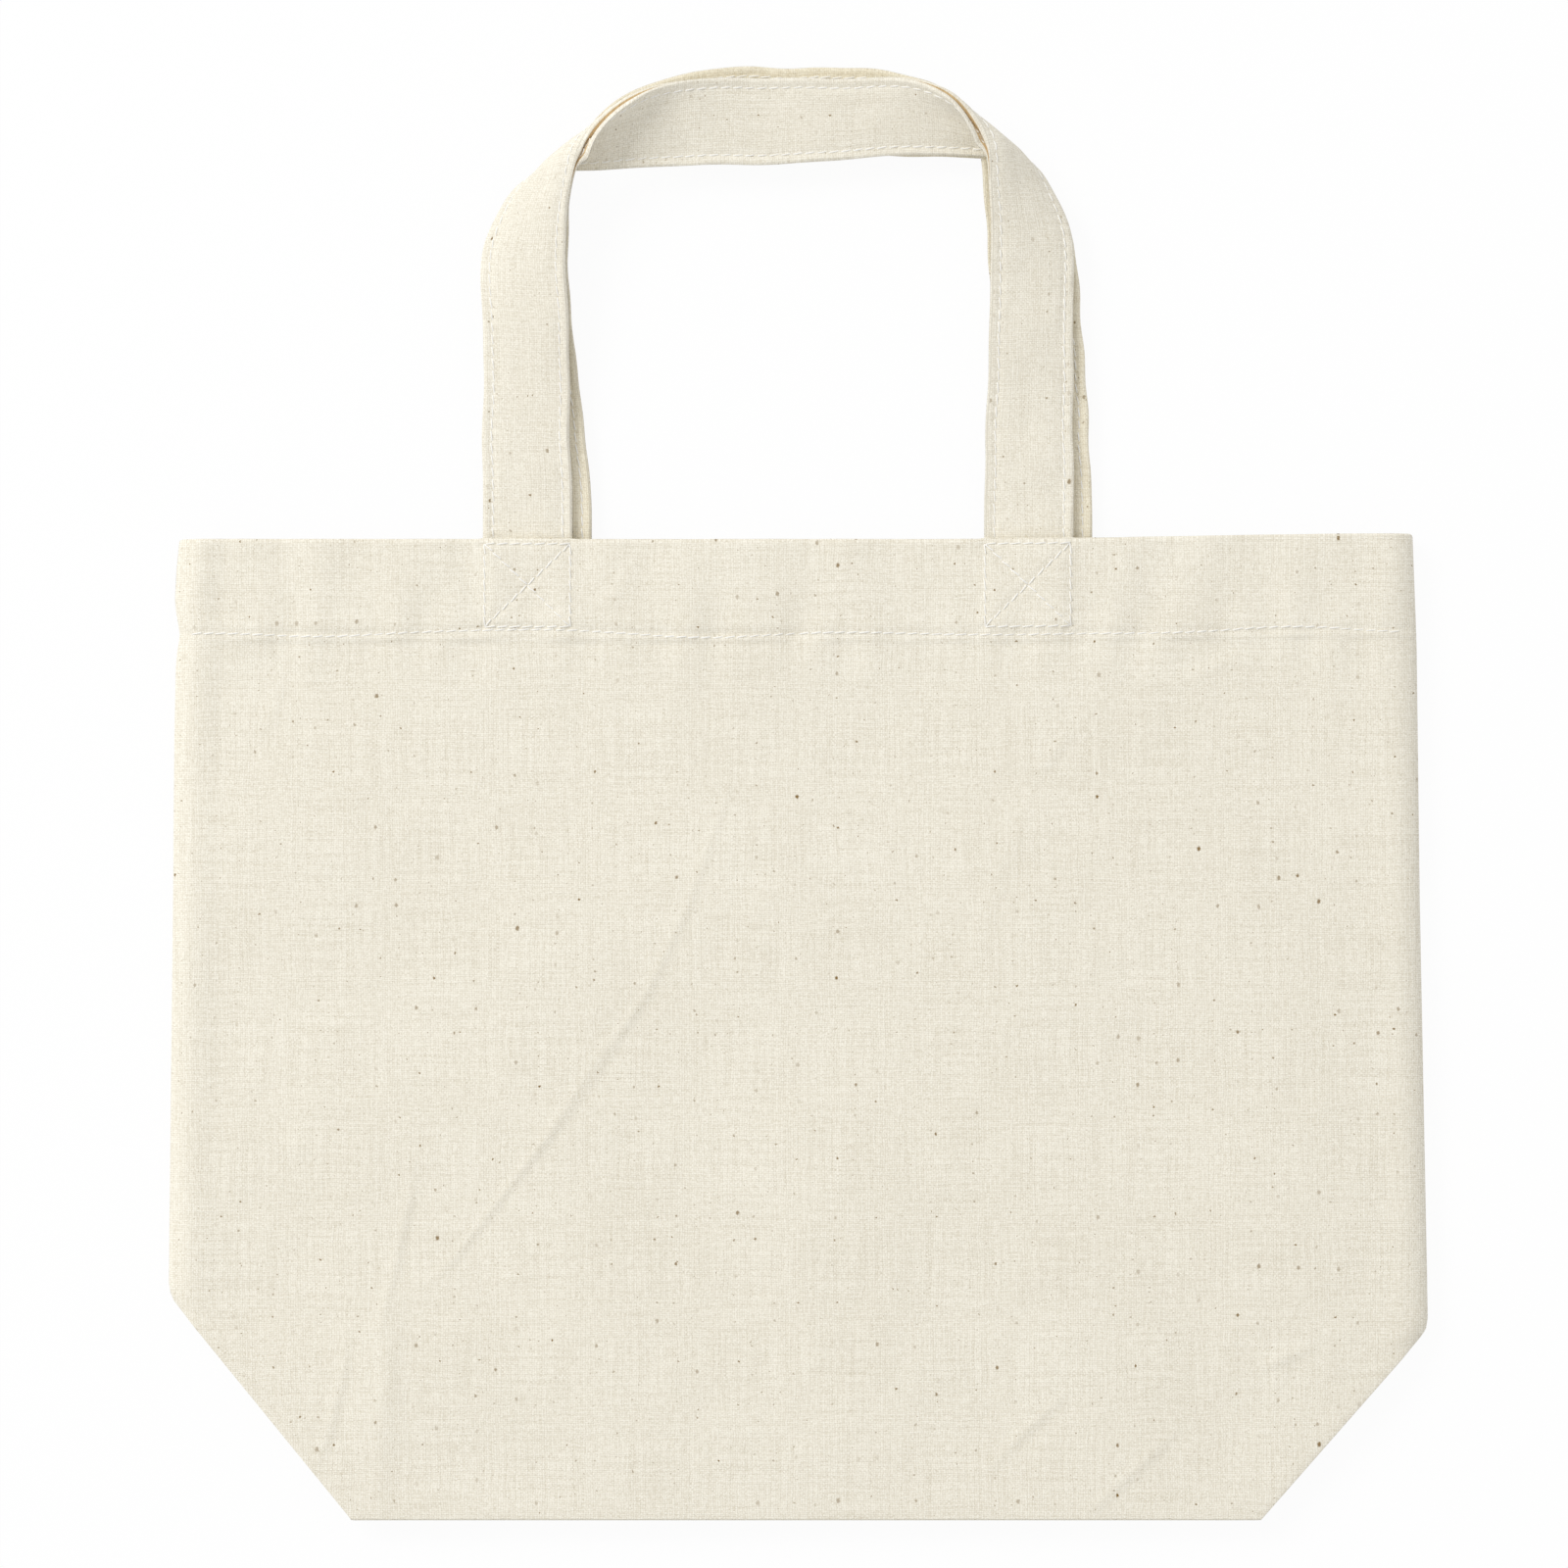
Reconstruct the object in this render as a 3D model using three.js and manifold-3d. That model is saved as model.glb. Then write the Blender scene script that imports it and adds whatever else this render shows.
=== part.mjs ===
// A plain cotton shopping bag with a boxed bottom, folded flat and lying on its back face.
// Millimetres. X runs across the bag, Y from its bottom edge towards its handles, Z up through its layers.
// The origin is the middle of the back face, on the surface that the bag lies on.
//
// The cloth is split where it folds: each flat stretch between two folds is a piece of its own, so that the
// bag can open from flat to a box. The front half is the back half mirrored about the middle of the thickness.
import * as THREE from "three";
import { mergeVertices } from "three/addons/utils/BufferGeometryUtils.js";
import Module from "manifold-3d";

// Bag
const BAG_WIDTH = 362; // flat, from side seam to side seam
const BAG_HEIGHT = 285; // bottom edge to mouth
const GUSSET_DEPTH = 100; // depth of the bottom when the bag is open
const LOFT = 9; // thickness of the bag lying flat
const CLOTH = 0.5; // one layer of cotton sheeting
const GAP = 0.3; // clearance between layers that touch

// Hem round the mouth: turned in, with its raw edge tucked under
const HEM_DEPTH = 30;
const HEM_TUCK = 10;

// Handles: straps of cloth folded in four, with both ends sewn inside the hem
const HANDLE_WIDTH = 25;
const HANDLE_THICKNESS = 1.5;
const HANDLE_SPACING = 145; // centre to centre of the two legs
const HANDLE_RISE = { back: 136, front: 134 }; // mouth to the top of the loop, as the two lie on each other
const HANDLE_SEWN = 26; // length of strap inside the hem
const HANDLE_STUB = 12; // stiff stretch of strap above the mouth, before it bends
const HANDLE_SHIFT = { back: 0, front: -6 }; // the front handle is sewn a little off centre
const HANDLE_LEAN = { back: -5, front: 0 }; // the back handle's legs lean over until its top lies under the front's
const STRAP_BEVEL = 0.5;
const STRAP_STATIONS = 26; // cross-sections along one half of a loop

// Turn of a loop from leg to top, in plan: the strap rolls over, so its edges turn by different amounts
const INNER_TURN = { across: 48, along: 53 };
const OUTER_TURN = { across: 27, along: 31 };
const TURN_FULLNESS = 0.7; // 0.55 is a quarter ellipse, 1 a square corner

// Heights of a loop's two edges above the surface: at the end of the leg, at the turn and at the top
const LOOP_HEIGHTS = {
  back: { inner: [4.3, 8, 3], outer: [3.4, 1.8, 1.5] },
  front: { inner: [8.5, 27, 12], outer: [8.5, 10.2, 9] },
};

// Seams
const SEAM_ALLOWANCE = 10;
const SEAM_TUCK_CLEARANCE = 6; // keeps the allowance off the corner fold and the hem

// Sewing thread, pulled down into the cloth until it lies flush
const THREAD_WIDTH = 0.5;
const THREAD_DEPTH = 0.25;
const THREAD_CLEARANCE = 0.1;
const HEM_STITCH_INSET = 2; // above the hem's lower edge
const BOX_STITCH_MARGIN = 0.5; // in from the strap's edges, for the stitched box with a cross on each strap end
const BOX_STITCH_LENGTH = 24; // along the strap
const BOX_STITCH_INSET = 1.2; // below the mouth
const STRAP_STITCH_INSET = 2.8; // in from each edge of the strap

// Worked out from the sizes above
const HALF_WIDTH = BAG_WIDTH / 2;
const HALF_GUSSET = GUSSET_DEPTH / 2;
const FOLD_X = HALF_WIDTH - HALF_GUSSET; // where a panel meets its sides
const LAYER_PITCH = CLOTH + GAP;
const HEM_STACK = CLOTH + 2 * LAYER_PITCH; // panel, tuck and facing
const STRAP_UNDERSIDE = HEM_STACK + GAP;
const SEAM_ROLL = LOFT / 2 - CLOTH / 2 - GAP / 2; // radius of a rolled edge, at the middle of the cloth
const ROLL_START_X = HALF_WIDTH - CLOTH / 2 - SEAM_ROLL;
const ARC_STEPS = 6;

const wasm = await Module();
wasm.setup();

const cotton = new THREE.MeshStandardMaterial({ color: 0xece6d5, roughness: 0.95, metalness: 0 });
const strapCotton = new THREE.MeshStandardMaterial({ color: 0xeee8d8, roughness: 0.95, metalness: 0 });
const thread = new THREE.MeshStandardMaterial({ color: 0xf7f4ec, roughness: 0.8, metalness: 0 });

// Solids for cutting and joining

function solidOf(geometry) {
  const bare = geometry.clone();
  bare.deleteAttribute("normal");
  bare.deleteAttribute("uv");
  const merged = mergeVertices(bare, 1e-4);
  return new wasm.Manifold(
    new wasm.Mesh({
      numProp: 3,
      vertProperties: merged.attributes.position.array,
      triVerts: new Uint32Array(merged.index.array),
    }),
  );
}

function geometryOf(solid) {
  const mesh = solid.getMesh();
  const geometry = new THREE.BufferGeometry();
  geometry.setAttribute("position", new THREE.BufferAttribute(mesh.vertProperties, 3));
  geometry.setIndex(new THREE.BufferAttribute(mesh.triVerts, 1));
  geometry.computeVertexNormals();
  return geometry;
}

const joined = (first, ...others) => others.reduce((sum, other) => sum.add(other), first);

// Profiles

// Points on an arc, angles in degrees.
function arc(centreU, centreV, radius, from, to) {
  return Array.from({ length: ARC_STEPS + 1 }, (_, i) => {
    const angle = THREE.MathUtils.degToRad(from + ((to - from) * i) / ARC_STEPS);
    return new THREE.Vector2(centreU + radius * Math.cos(angle), centreV + radius * Math.sin(angle));
  });
}

// Section of a layer of cloth that follows a line of points.
function clothSection(line) {
  const left = [];
  const right = [];
  line.forEach((point, i) => {
    const before = line[Math.max(i - 1, 0)];
    const after = line[Math.min(i + 1, line.length - 1)];
    const along = after.clone().sub(before).normalize();
    const across = new THREE.Vector2(-along.y, along.x).multiplyScalar(CLOTH / 2);
    left.push(point.clone().add(across));
    right.unshift(point.clone().sub(across));
  });
  return new THREE.Shape([...left, ...right]);
}

function outline(...corners) {
  return new THREE.Shape(corners.map(([x, y]) => new THREE.Vector2(x, y)));
}

const X = new THREE.Vector3(1, 0, 0);
const Y = new THREE.Vector3(0, 1, 0);
const Z = new THREE.Vector3(0, 0, 1);

function extruded(shape, depth) {
  return new THREE.ExtrudeGeometry(shape, { depth, bevelEnabled: false, steps: 1 });
}

// A section drawn in Y and Z, carried from one X to another.
function alongX(shape, from, to) {
  const basis = new THREE.Matrix4().makeBasis(Y, Z, X).setPosition(from, 0, 0);
  return extruded(shape, to - from).applyMatrix4(basis);
}

// A section drawn in X and Z, carried from one Y to another.
function alongY(shape, from, to) {
  const basis = new THREE.Matrix4().makeBasis(X, Z, Y.clone().negate()).setPosition(0, to, 0);
  return extruded(shape, to - from).applyMatrix4(basis);
}

// An outline drawn in X and Y, from one Z to another.
function alongZ(shape, from, to) {
  return extruded(shape, to - from).translate(0, 0, from);
}

const vector = (u, v) => new THREE.Vector2(u, v);

// The hem: over the mouth, down inside as the facing, and back up as the tucked raw edge.
function hemLine() {
  const tuckRadius = LAYER_PITCH / 2;
  const middle = CLOTH / 2;
  const facing = middle + 2 * LAYER_PITCH;
  const lowerEdge = BAG_HEIGHT - HEM_DEPTH + tuckRadius;
  return [
    ...arc(BAG_HEIGHT - LAYER_PITCH - CLOTH / 2, middle + LAYER_PITCH, LAYER_PITCH, -90, 90),
    ...arc(lowerEdge, facing - tuckRadius, tuckRadius, 90, 270),
    vector(lowerEdge + HEM_TUCK, facing - 2 * tuckRadius),
  ];
}

// An edge that rolls in to the middle of the bag's thickness, where it meets its opposite number.
function rolledEdge(rollStart, layerMiddle) {
  const radius = LOFT / 2 - GAP / 2 - layerMiddle;
  return arc(rollStart, layerMiddle + radius, radius, -90, 0);
}

// Thread

// A straight run of thread, or the groove it lies in, between two points in plan.
function barSolid([fromX, fromY, toX, toY], width, from, to) {
  const half = (Math.hypot(toX - fromX, toY - fromY) + width) / 2;
  const edge = width / 2;
  const shape = outline([-half, -edge], [half, -edge], [half, edge], [-half, edge]);
  const angle = Math.atan2(toY - fromY, toX - fromX);
  return solidOf(alongZ(shape, from, to).rotateZ(angle).translate((fromX + toX) / 2, (fromY + toY) / 2, 0));
}

// The runs of a stitched box with a cross in it, as ends of straight lines.
function boxRuns(centreX) {
  const half = HANDLE_WIDTH / 2 - BOX_STITCH_MARGIN;
  const top = BAG_HEIGHT - BOX_STITCH_INSET;
  const [left, right, bottom] = [centreX - half, centreX + half, top - BOX_STITCH_LENGTH];
  return [
    [left, bottom, right, bottom],
    [right, bottom, right, top],
    [right, top, left, top],
    [left, top, left, bottom],
    [left, bottom, right, top],
    [left, top, right, bottom],
  ];
}

const threadSolid = (runs) =>
  joined(
    ...runs.map((ends) => barSolid(ends, THREAD_WIDTH, 0, THREAD_DEPTH)),
  );

const grooveSolid = (runs) =>
  joined(
    ...runs.map((ends) =>
      barSolid(ends, THREAD_WIDTH + 2 * THREAD_CLEARANCE, -CLOTH, THREAD_DEPTH + THREAD_CLEARANCE),
    ),
  );

const hemRun = (from, to) => {
  const y = BAG_HEIGHT - HEM_DEPTH + HEM_STITCH_INSET;
  return [[from, y, to, y]];
};

function mesh(name, solidOrGeometry, material) {
  const geometry = solidOrGeometry.isBufferGeometry ? solidOrGeometry : geometryOf(solidOrGeometry);
  const made = new THREE.Mesh(geometry, material);
  made.name = name;
  return made;
}

// Half of the bag

// Middle of a panel, between its two side folds, with its hem and the grooves that its stitches pull.
function panel(layer) {
  const group = new THREE.Group();
  const edge = FOLD_X - GAP / 2;
  const section = clothSection([vector(0, CLOTH / 2), ...hemLine()]);
  const legs = [-1, 1].map((side) => (side * HANDLE_SPACING) / 2 + HANDLE_SHIFT[layer]);
  const hem = hemRun(-edge + CLOTH, edge - CLOTH);
  const grooves = joined(grooveSolid(hem), ...legs.map((x) => grooveSolid(boxRuns(x))));
  group.add(mesh(`${layer}_panel`, solidOf(alongX(section, -edge, edge)).subtract(grooves), cotton));
  group.add(mesh(`${layer}_hem_stitch`, threadSolid(hem), thread));
  legs.forEach((x, i) => {
    const side = ["left", "right"][i];
    group.add(mesh(`${layer}_${side}_box_stitch`, threadSolid(boxRuns(x)), thread));
    group.add(mesh(`${layer}_handle_${side}_end`, strapEnd(x), strapCotton));
  });
  return group;
}

// The end of a strap, sewn inside the hem, up to the line where the handle bends.
function strapEnd(centreX) {
  const bottom = BAG_HEIGHT - HANDLE_SEWN;
  const top = BAG_HEIGHT + HANDLE_STUB - GAP / 2;
  const half = HANDLE_WIDTH / 2;
  const shape = outline(
    [centreX - half, bottom],
    [centreX + half, bottom],
    [centreX + half, top],
    [centreX - half, top],
  );
  return alongZ(shape, STRAP_UNDERSIDE, STRAP_UNDERSIDE + HANDLE_THICKNESS);
}

// Half of a side, between a panel's fold and the side seam: its outer edge rolls up to the seam, its top is
// hemmed, and its lower corner is folded in along a diagonal. The hem starts a hem's thickness from the fold,
// so that the side can turn through a right angle without meeting the panel's hem.
function side(layer, hand) {
  const group = new THREE.Group();
  const inner = FOLD_X + GAP / 2;
  const hemStart = inner + HEM_STACK;
  const top = BAG_HEIGHT - LAYER_PITCH - CLOTH / 2;
  const sheet = clothSection([vector(inner, CLOTH / 2), ...rolledEdge(ROLL_START_X, CLOTH / 2)]);
  const hemSection = clothSection([vector(top - HEM_DEPTH, CLOTH / 2), ...hemLine()]);
  const past = HALF_WIDTH + HALF_GUSSET;
  const foldedAway = outline([FOLD_X, 0], [FOLD_X, -past], [past, -past], [past, past - FOLD_X]);
  const stitches = hemRun(hemStart, ROLL_START_X - CLOTH);
  const solid = solidOf(alongY(sheet, 0, top))
    .add(solidOf(alongX(hemSection, hemStart, ROLL_START_X)))
    .subtract(solidOf(alongZ(foldedAway, -LOFT, LOFT)))
    .subtract(grooveSolid(stitches));
  group.add(mesh(`${hand}_${layer}_side`, solid, cotton));
  group.add(mesh(`${hand}_${layer}_hem_stitch`, threadSolid(stitches), thread));
  return group;
}

// Half of the bottom, folded up inside the bag, with its middle edge rolled to meet the other half.
function bottomHalf(layer) {
  const edge = FOLD_X - GAP / 2;
  const middle = CLOTH / 2 + LAYER_PITCH;
  const radius = LOFT / 2 - GAP / 2 - middle;
  const section = clothSection([vector(0, middle), ...rolledEdge(HALF_GUSSET - CLOTH / 2 - radius, middle)]);
  return mesh(`bottom_${layer}_half`, alongX(section, -edge, edge), cotton);
}

// The lower corner of a side, folded in behind it along the diagonal.
function corner(layer, hand) {
  const inset = GAP * Math.SQRT2;
  const left = FOLD_X + GAP / 2;
  const tip = ROLL_START_X - GAP;
  const top = HALF_GUSSET - GAP / 2;
  const shape = outline(
    [left, inset],
    [tip, tip - left + inset],
    [tip, top],
    [left, top],
  );
  return mesh(`${hand}_${layer}_corner`, alongZ(shape, LAYER_PITCH, LAYER_PITCH + CLOTH), cotton);
}

// The two trimmed edges of a side seam, oversewn together and pressed to the back.
function seamAllowance(hand) {
  const outer = ROLL_START_X - GAP;
  const bottom = HALF_GUSSET + SEAM_TUCK_CLEARANCE;
  const top = BAG_HEIGHT - HEM_DEPTH - SEAM_TUCK_CLEARANCE;
  const shape = outline(
    [outer - SEAM_ALLOWANCE, bottom],
    [outer, bottom],
    [outer, top],
    [outer - SEAM_ALLOWANCE, top],
  );
  return mesh(`${hand}_side_seam_allowance`, alongZ(shape, LAYER_PITCH, LAYER_PITCH + 2 * CLOTH), cotton);
}

function halfBag(layer) {
  const group = new THREE.Group();
  group.add(panel(layer), bottomHalf(layer));
  for (const hand of ["left", "right"]) {
    const flank = new THREE.Group();
    flank.add(side(layer, hand), corner(layer, hand));
    if (layer === "back") flank.add(seamAllowance(hand));
    if (hand === "left") flank.scale.x = -1;
    group.add(flank);
  }
  return group;
}

// Handle loops

// One edge of a strap over half of its loop: straight leg, turn, and top to the middle.
function edgeCurve(legX, turn, topY, rootZ, [legZ, turnZ, topZ]) {
  const root = new THREE.Vector3(-legX, HANDLE_STUB + GAP / 2, rootZ);
  const legEnd = new THREE.Vector3(-legX, topY - turn.along, legZ);
  const turnEnd = new THREE.Vector3(-legX + turn.across, topY, topZ);
  const pullUp = new THREE.Vector3(-legX, topY - turn.along * (1 - TURN_FULLNESS), turnZ);
  const pullBack = new THREE.Vector3(-legX + turn.across * (1 - TURN_FULLNESS), topY, turnZ);
  const curve = new THREE.CurvePath();
  curve.add(new THREE.LineCurve3(root, legEnd));
  curve.add(new THREE.CubicBezierCurve3(legEnd, pullUp, pullBack, turnEnd));
  curve.add(new THREE.LineCurve3(turnEnd, new THREE.Vector3(0, topY, topZ)));
  return curve;
}

// The whole edge: the left half, then the same half mirrored, with both legs leaning the same way.
function wholeEdge(curve, layer) {
  const half = Array.from({ length: STRAP_STATIONS + 1 }, (_, i) => curve.getPointAt(i / STRAP_STATIONS));
  const mirrored = half.slice(0, -1).reverse();
  const legTop = HANDLE_RISE[layer] - INNER_TURN.along;
  const points = [...half, ...mirrored.map((p) => new THREE.Vector3(-p.x, p.y, p.z))];
  points.forEach((p) => {
    p.x += HANDLE_LEAN[layer] * THREE.MathUtils.smoothstep(p.y, HANDLE_STUB, legTop);
  });
  return points;
}

// Cross-sections along a loop: a middle, and unit vectors across the strap and out of its face.
function stations(layer) {
  const heights = LOOP_HEIGHTS[layer];
  const strapMiddle = STRAP_UNDERSIDE + HANDLE_THICKNESS / 2;
  const rootZ = layer === "back" ? strapMiddle : LOFT - strapMiddle;
  const [legMiddle, half] = [HANDLE_SPACING / 2, HANDLE_WIDTH / 2];
  const upperTop = HANDLE_RISE[layer];
  const lowerTop = upperTop - HANDLE_WIDTH;
  const inner = wholeEdge(edgeCurve(legMiddle - half, INNER_TURN, upperTop, rootZ, heights.inner), layer);
  const outer = wholeEdge(edgeCurve(legMiddle + half, OUTER_TURN, lowerTop, rootZ, heights.outer), layer);
  const middles = inner.map((p, i) => p.clone().add(outer[i]).multiplyScalar(0.5));
  return middles.map((middle, i) => {
    const last = middles.length - 1;
    const along = middles[Math.min(i + 1, last)].clone().sub(middles[Math.max(i - 1, 0)]);
    if (i === 0 || i === last) along.copy(Y).multiplyScalar(i === 0 ? 1 : -1);
    const across = outer[i].clone().sub(inner[i]);
    const reach = across.length() / 2;
    across.normalize();
    return { middle, across, reach, face: along.cross(across).normalize() };
  });
}

// A closed band through stations. The section gives each corner as how far across the strap it lies, counted
// from the inner or the outer edge, and how far out of the strap's middle surface.
function band(rings, section) {
  const corners = section.length;
  const positions = rings.flatMap(({ middle, across, reach, face }) =>
    section.flatMap(({ edge, inset, out }) => {
      const sideways = edge === "outer" ? reach - inset : inset - reach;
      return middle.clone().addScaledVector(across, sideways).addScaledVector(face, out).toArray();
    }),
  );
  const faces = [];
  for (let ring = 0; ring + 1 < rings.length; ring += 1) {
    for (let i = 0; i < corners; i += 1) {
      const next = (i + 1) % corners;
      const [a, b] = [ring * corners + i, ring * corners + next];
      faces.push(a, b, b + corners, a, b + corners, a + corners);
    }
  }
  const end = (rings.length - 1) * corners;
  for (let i = 1; i + 1 < corners; i += 1) {
    faces.push(0, i + 1, i, end, end + i, end + i + 1);
  }
  const geometry = new THREE.BufferGeometry();
  geometry.setAttribute("position", new THREE.Float32BufferAttribute(positions, 3));
  geometry.setIndex(faces);
  geometry.computeVertexNormals();
  return geometry;
}

// How far in from the strap's edge a row of stitching starts and ends.
const STITCH_ROW = [STRAP_STITCH_INSET - THREAD_WIDTH / 2, STRAP_STITCH_INSET + THREAD_WIDTH / 2];

// The strap's section: flat, with its folded edges rounded off. It has corners under both rows of stitching,
// so that the thread follows the strap where it twists.
function strapSection() {
  const half = HANDLE_THICKNESS / 2;
  const flat = half - STRAP_BEVEL;
  const insets = [STRAP_BEVEL, ...STITCH_ROW];
  const across = [
    ...insets.map((inset) => ({ edge: "inner", inset })),
    ...insets.toReversed().map((inset) => ({ edge: "outer", inset })),
  ];
  return [
    { edge: "inner", inset: 0, out: -flat },
    ...across.map((corner) => ({ ...corner, out: -half })),
    { edge: "outer", inset: 0, out: -flat },
    { edge: "outer", inset: 0, out: flat },
    ...across.toReversed().map((corner) => ({ ...corner, out: half })),
    { edge: "inner", inset: 0, out: flat },
  ];
}

// A row of stitching along one edge of the strap, on its outer face.
function strapStitchSection(edge) {
  const [near, far] = edge === "inner" ? STITCH_ROW : STITCH_ROW.toReversed();
  const low = HANDLE_THICKNESS / 2 + GAP;
  const high = low + THREAD_DEPTH;
  return [
    { edge, inset: near, out: low },
    { edge, inset: far, out: low },
    { edge, inset: far, out: high },
    { edge, inset: near, out: high },
  ];
}

function handle(layer) {
  const group = new THREE.Group();
  group.position.set(HANDLE_SHIFT[layer], BAG_HEIGHT, 0);
  const rings = stations(layer);
  const clearOfBend = rings.slice(1, -1);
  group.add(mesh(`${layer}_handle`, band(rings, strapSection()), strapCotton));
  for (const edge of ["inner", "outer"]) {
    const row = band(clearOfBend, strapStitchSection(edge));
    group.add(mesh(`${layer}_handle_${edge}_stitch`, row, thread));
  }
  return group;
}

// The bag

const back = halfBag("back");
const front = halfBag("front");
front.scale.z = -1;
front.position.z = LOFT;

const bag = new THREE.Group();
bag.position.y = -BAG_HEIGHT / 2;
bag.add(back, front, handle("back"), handle("front"));

const part = new THREE.Group();
part.add(bag);

export default part;
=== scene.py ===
"""A plain natural cotton shopping bag with a boxed bottom, folded flat and seen from straight above.

Lengths in the sections are millimetres, with Y counted from the bag's bottom crease. place() turns
them into the frame's metres, whose origin is the middle of the back face.
"""
import math

import bpy
import numpy as np
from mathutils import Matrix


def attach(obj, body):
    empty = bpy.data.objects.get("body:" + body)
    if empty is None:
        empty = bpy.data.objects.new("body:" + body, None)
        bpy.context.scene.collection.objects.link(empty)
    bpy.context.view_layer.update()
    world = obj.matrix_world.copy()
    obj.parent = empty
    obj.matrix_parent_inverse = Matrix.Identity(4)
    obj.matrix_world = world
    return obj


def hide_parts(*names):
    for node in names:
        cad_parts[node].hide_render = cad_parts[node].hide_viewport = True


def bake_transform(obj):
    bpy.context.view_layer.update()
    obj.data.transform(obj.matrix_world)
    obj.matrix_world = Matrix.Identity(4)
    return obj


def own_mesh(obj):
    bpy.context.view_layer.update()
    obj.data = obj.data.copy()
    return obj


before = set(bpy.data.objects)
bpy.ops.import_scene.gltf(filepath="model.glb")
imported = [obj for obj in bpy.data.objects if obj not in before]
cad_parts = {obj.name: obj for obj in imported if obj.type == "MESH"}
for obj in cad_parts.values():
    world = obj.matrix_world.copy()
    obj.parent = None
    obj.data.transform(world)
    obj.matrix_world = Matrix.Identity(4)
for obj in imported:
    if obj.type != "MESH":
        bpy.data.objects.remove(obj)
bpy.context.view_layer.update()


# Table and light
# The bag lies on a white table under a large soft lamp to the upper left, with light from all round.
# The camera hangs over it and looks straight down, with the handles at the top of the picture.

PICTURE_WIDTH = 0.4544  # metres across the picture, at the height of the bag's front
PICTURE_MIDDLE = (-0.0041, 0.0711)
CAMERA_HEIGHT = 1.8
BAG_TOP = 0.009
LAMP_PLACE = (-2.0, 1.65, 2.35)
LAMP_SIZE = 1.5
LAMP_POWER = 57

camera_data = bpy.data.cameras.new("camera")
camera_data.lens = camera_data.sensor_width * (CAMERA_HEIGHT - BAG_TOP) / PICTURE_WIDTH
camera = bpy.data.objects.new("camera", camera_data)
camera.location = (*PICTURE_MIDDLE, CAMERA_HEIGHT)
bpy.context.collection.objects.link(camera)
bpy.context.scene.camera = camera
bpy.context.scene.view_settings.view_transform = "Standard"

lamp_data = bpy.data.lights.new("soft_lamp", "AREA")
lamp_data.size = LAMP_SIZE
lamp_data.energy = LAMP_POWER
lamp = bpy.data.objects.new("soft_lamp", lamp_data)
lamp.location = LAMP_PLACE
lamp.rotation_euler = (-lamp.location).to_track_quat("-Z", "Y").to_euler()
bpy.context.collection.objects.link(lamp)


class Wire:
    """A value in a node tree. Python's operators on it add the tree's own maths nodes."""

    def __init__(self, tree, output):
        self.tree = tree
        self.output = output

    @staticmethod
    def node(tree, kind, settings=None, inputs=None):
        """Adds a node of this kind: its settings first, then the values or wires of its sockets."""
        made = tree.nodes.new(kind)
        for name, value in (settings or {}).items():
            setattr(made, name, value)
        for key, value in (inputs or {}).items():
            if isinstance(value, Wire):
                tree.links.new(value.output, made.inputs[key])
            else:
                made.inputs[key].default_value = value
        return made

    @classmethod
    def of(cls, tree, kind, settings=None, inputs=None, output=0):
        return cls(tree, cls.node(tree, kind, settings, inputs).outputs[output])

    def math(self, operation, *values):
        sockets = dict(enumerate((self, *values)))
        return Wire.of(self.tree, "ShaderNodeMath", {"operation": operation}, sockets)

    def __add__(self, other):
        return self.math("ADD", other)

    __radd__ = __add__

    def __sub__(self, other):
        return self.math("SUBTRACT", other)

    def __rsub__(self, other):
        return (self * -1) + other

    def __mul__(self, other):
        return self.math("MULTIPLY", other)

    __rmul__ = __mul__

    def __truediv__(self, other):
        return self.math("DIVIDE", other)

    def __abs__(self):
        return self.math("ABSOLUTE")

    def __pow__(self, other):
        return self.math("POWER", other)

    def sine(self):
        return self.math("SINE")

    def between(self, low, high):
        """0 at low and 1 at high, with a soft start and end."""
        sockets = {"Value": self, "From Min": low, "From Max": high}
        return Wire.of(self.tree, "ShaderNodeMapRange", {"interpolation_type": "SMOOTHSTEP"}, sockets)

    def tinted(self, low, high):
        """The colour low where this is 0, high where it is 1. Either may be a wire."""
        # a Mix node's colours are its sockets 6 and 7, and the mixed colour is its output 2
        sockets = {"Factor": self, 6: low, 7: high}
        return Wire.of(self.tree, "ShaderNodeMix", {"data_type": "RGBA"}, sockets, 2)


def new_tree(name):
    """An empty material and its node tree."""
    material = bpy.data.materials.new(name)
    material.use_nodes = True
    material.node_tree.nodes.clear()
    return material, material.node_tree


def surface(tree, shader):
    """Ends a material's tree with this shader."""
    Wire.node(tree, "ShaderNodeOutputMaterial", {}, {"Surface": shader})


def seen_directly(tree):
    """1 for rays from the camera, also through glass or by a mirror, and 0 for light between surfaces."""
    path = Wire.node(tree, "ShaderNodeLightPath")
    seen = Wire(tree, path.outputs["Is Camera Ray"])
    for ray in ("Is Glossy Ray", "Is Transmission Ray"):
        seen = seen.math("MAXIMUM", Wire(tree, path.outputs[ray]))
    return seen


TABLE_GLOW = 0.94  # share of the table's picture that is plain white rather than lit
TABLE_GREY = (0.92, 0.92, 0.92, 1)
TABLE_REACH = 3.0
TABLE_DROP = 0.0014  # below the frame's floor, clear of the back cloth's waves
ROOM_LIGHT = 0.69  # strength of the light from all round
WHITE = (1, 1, 1, 1)

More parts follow.
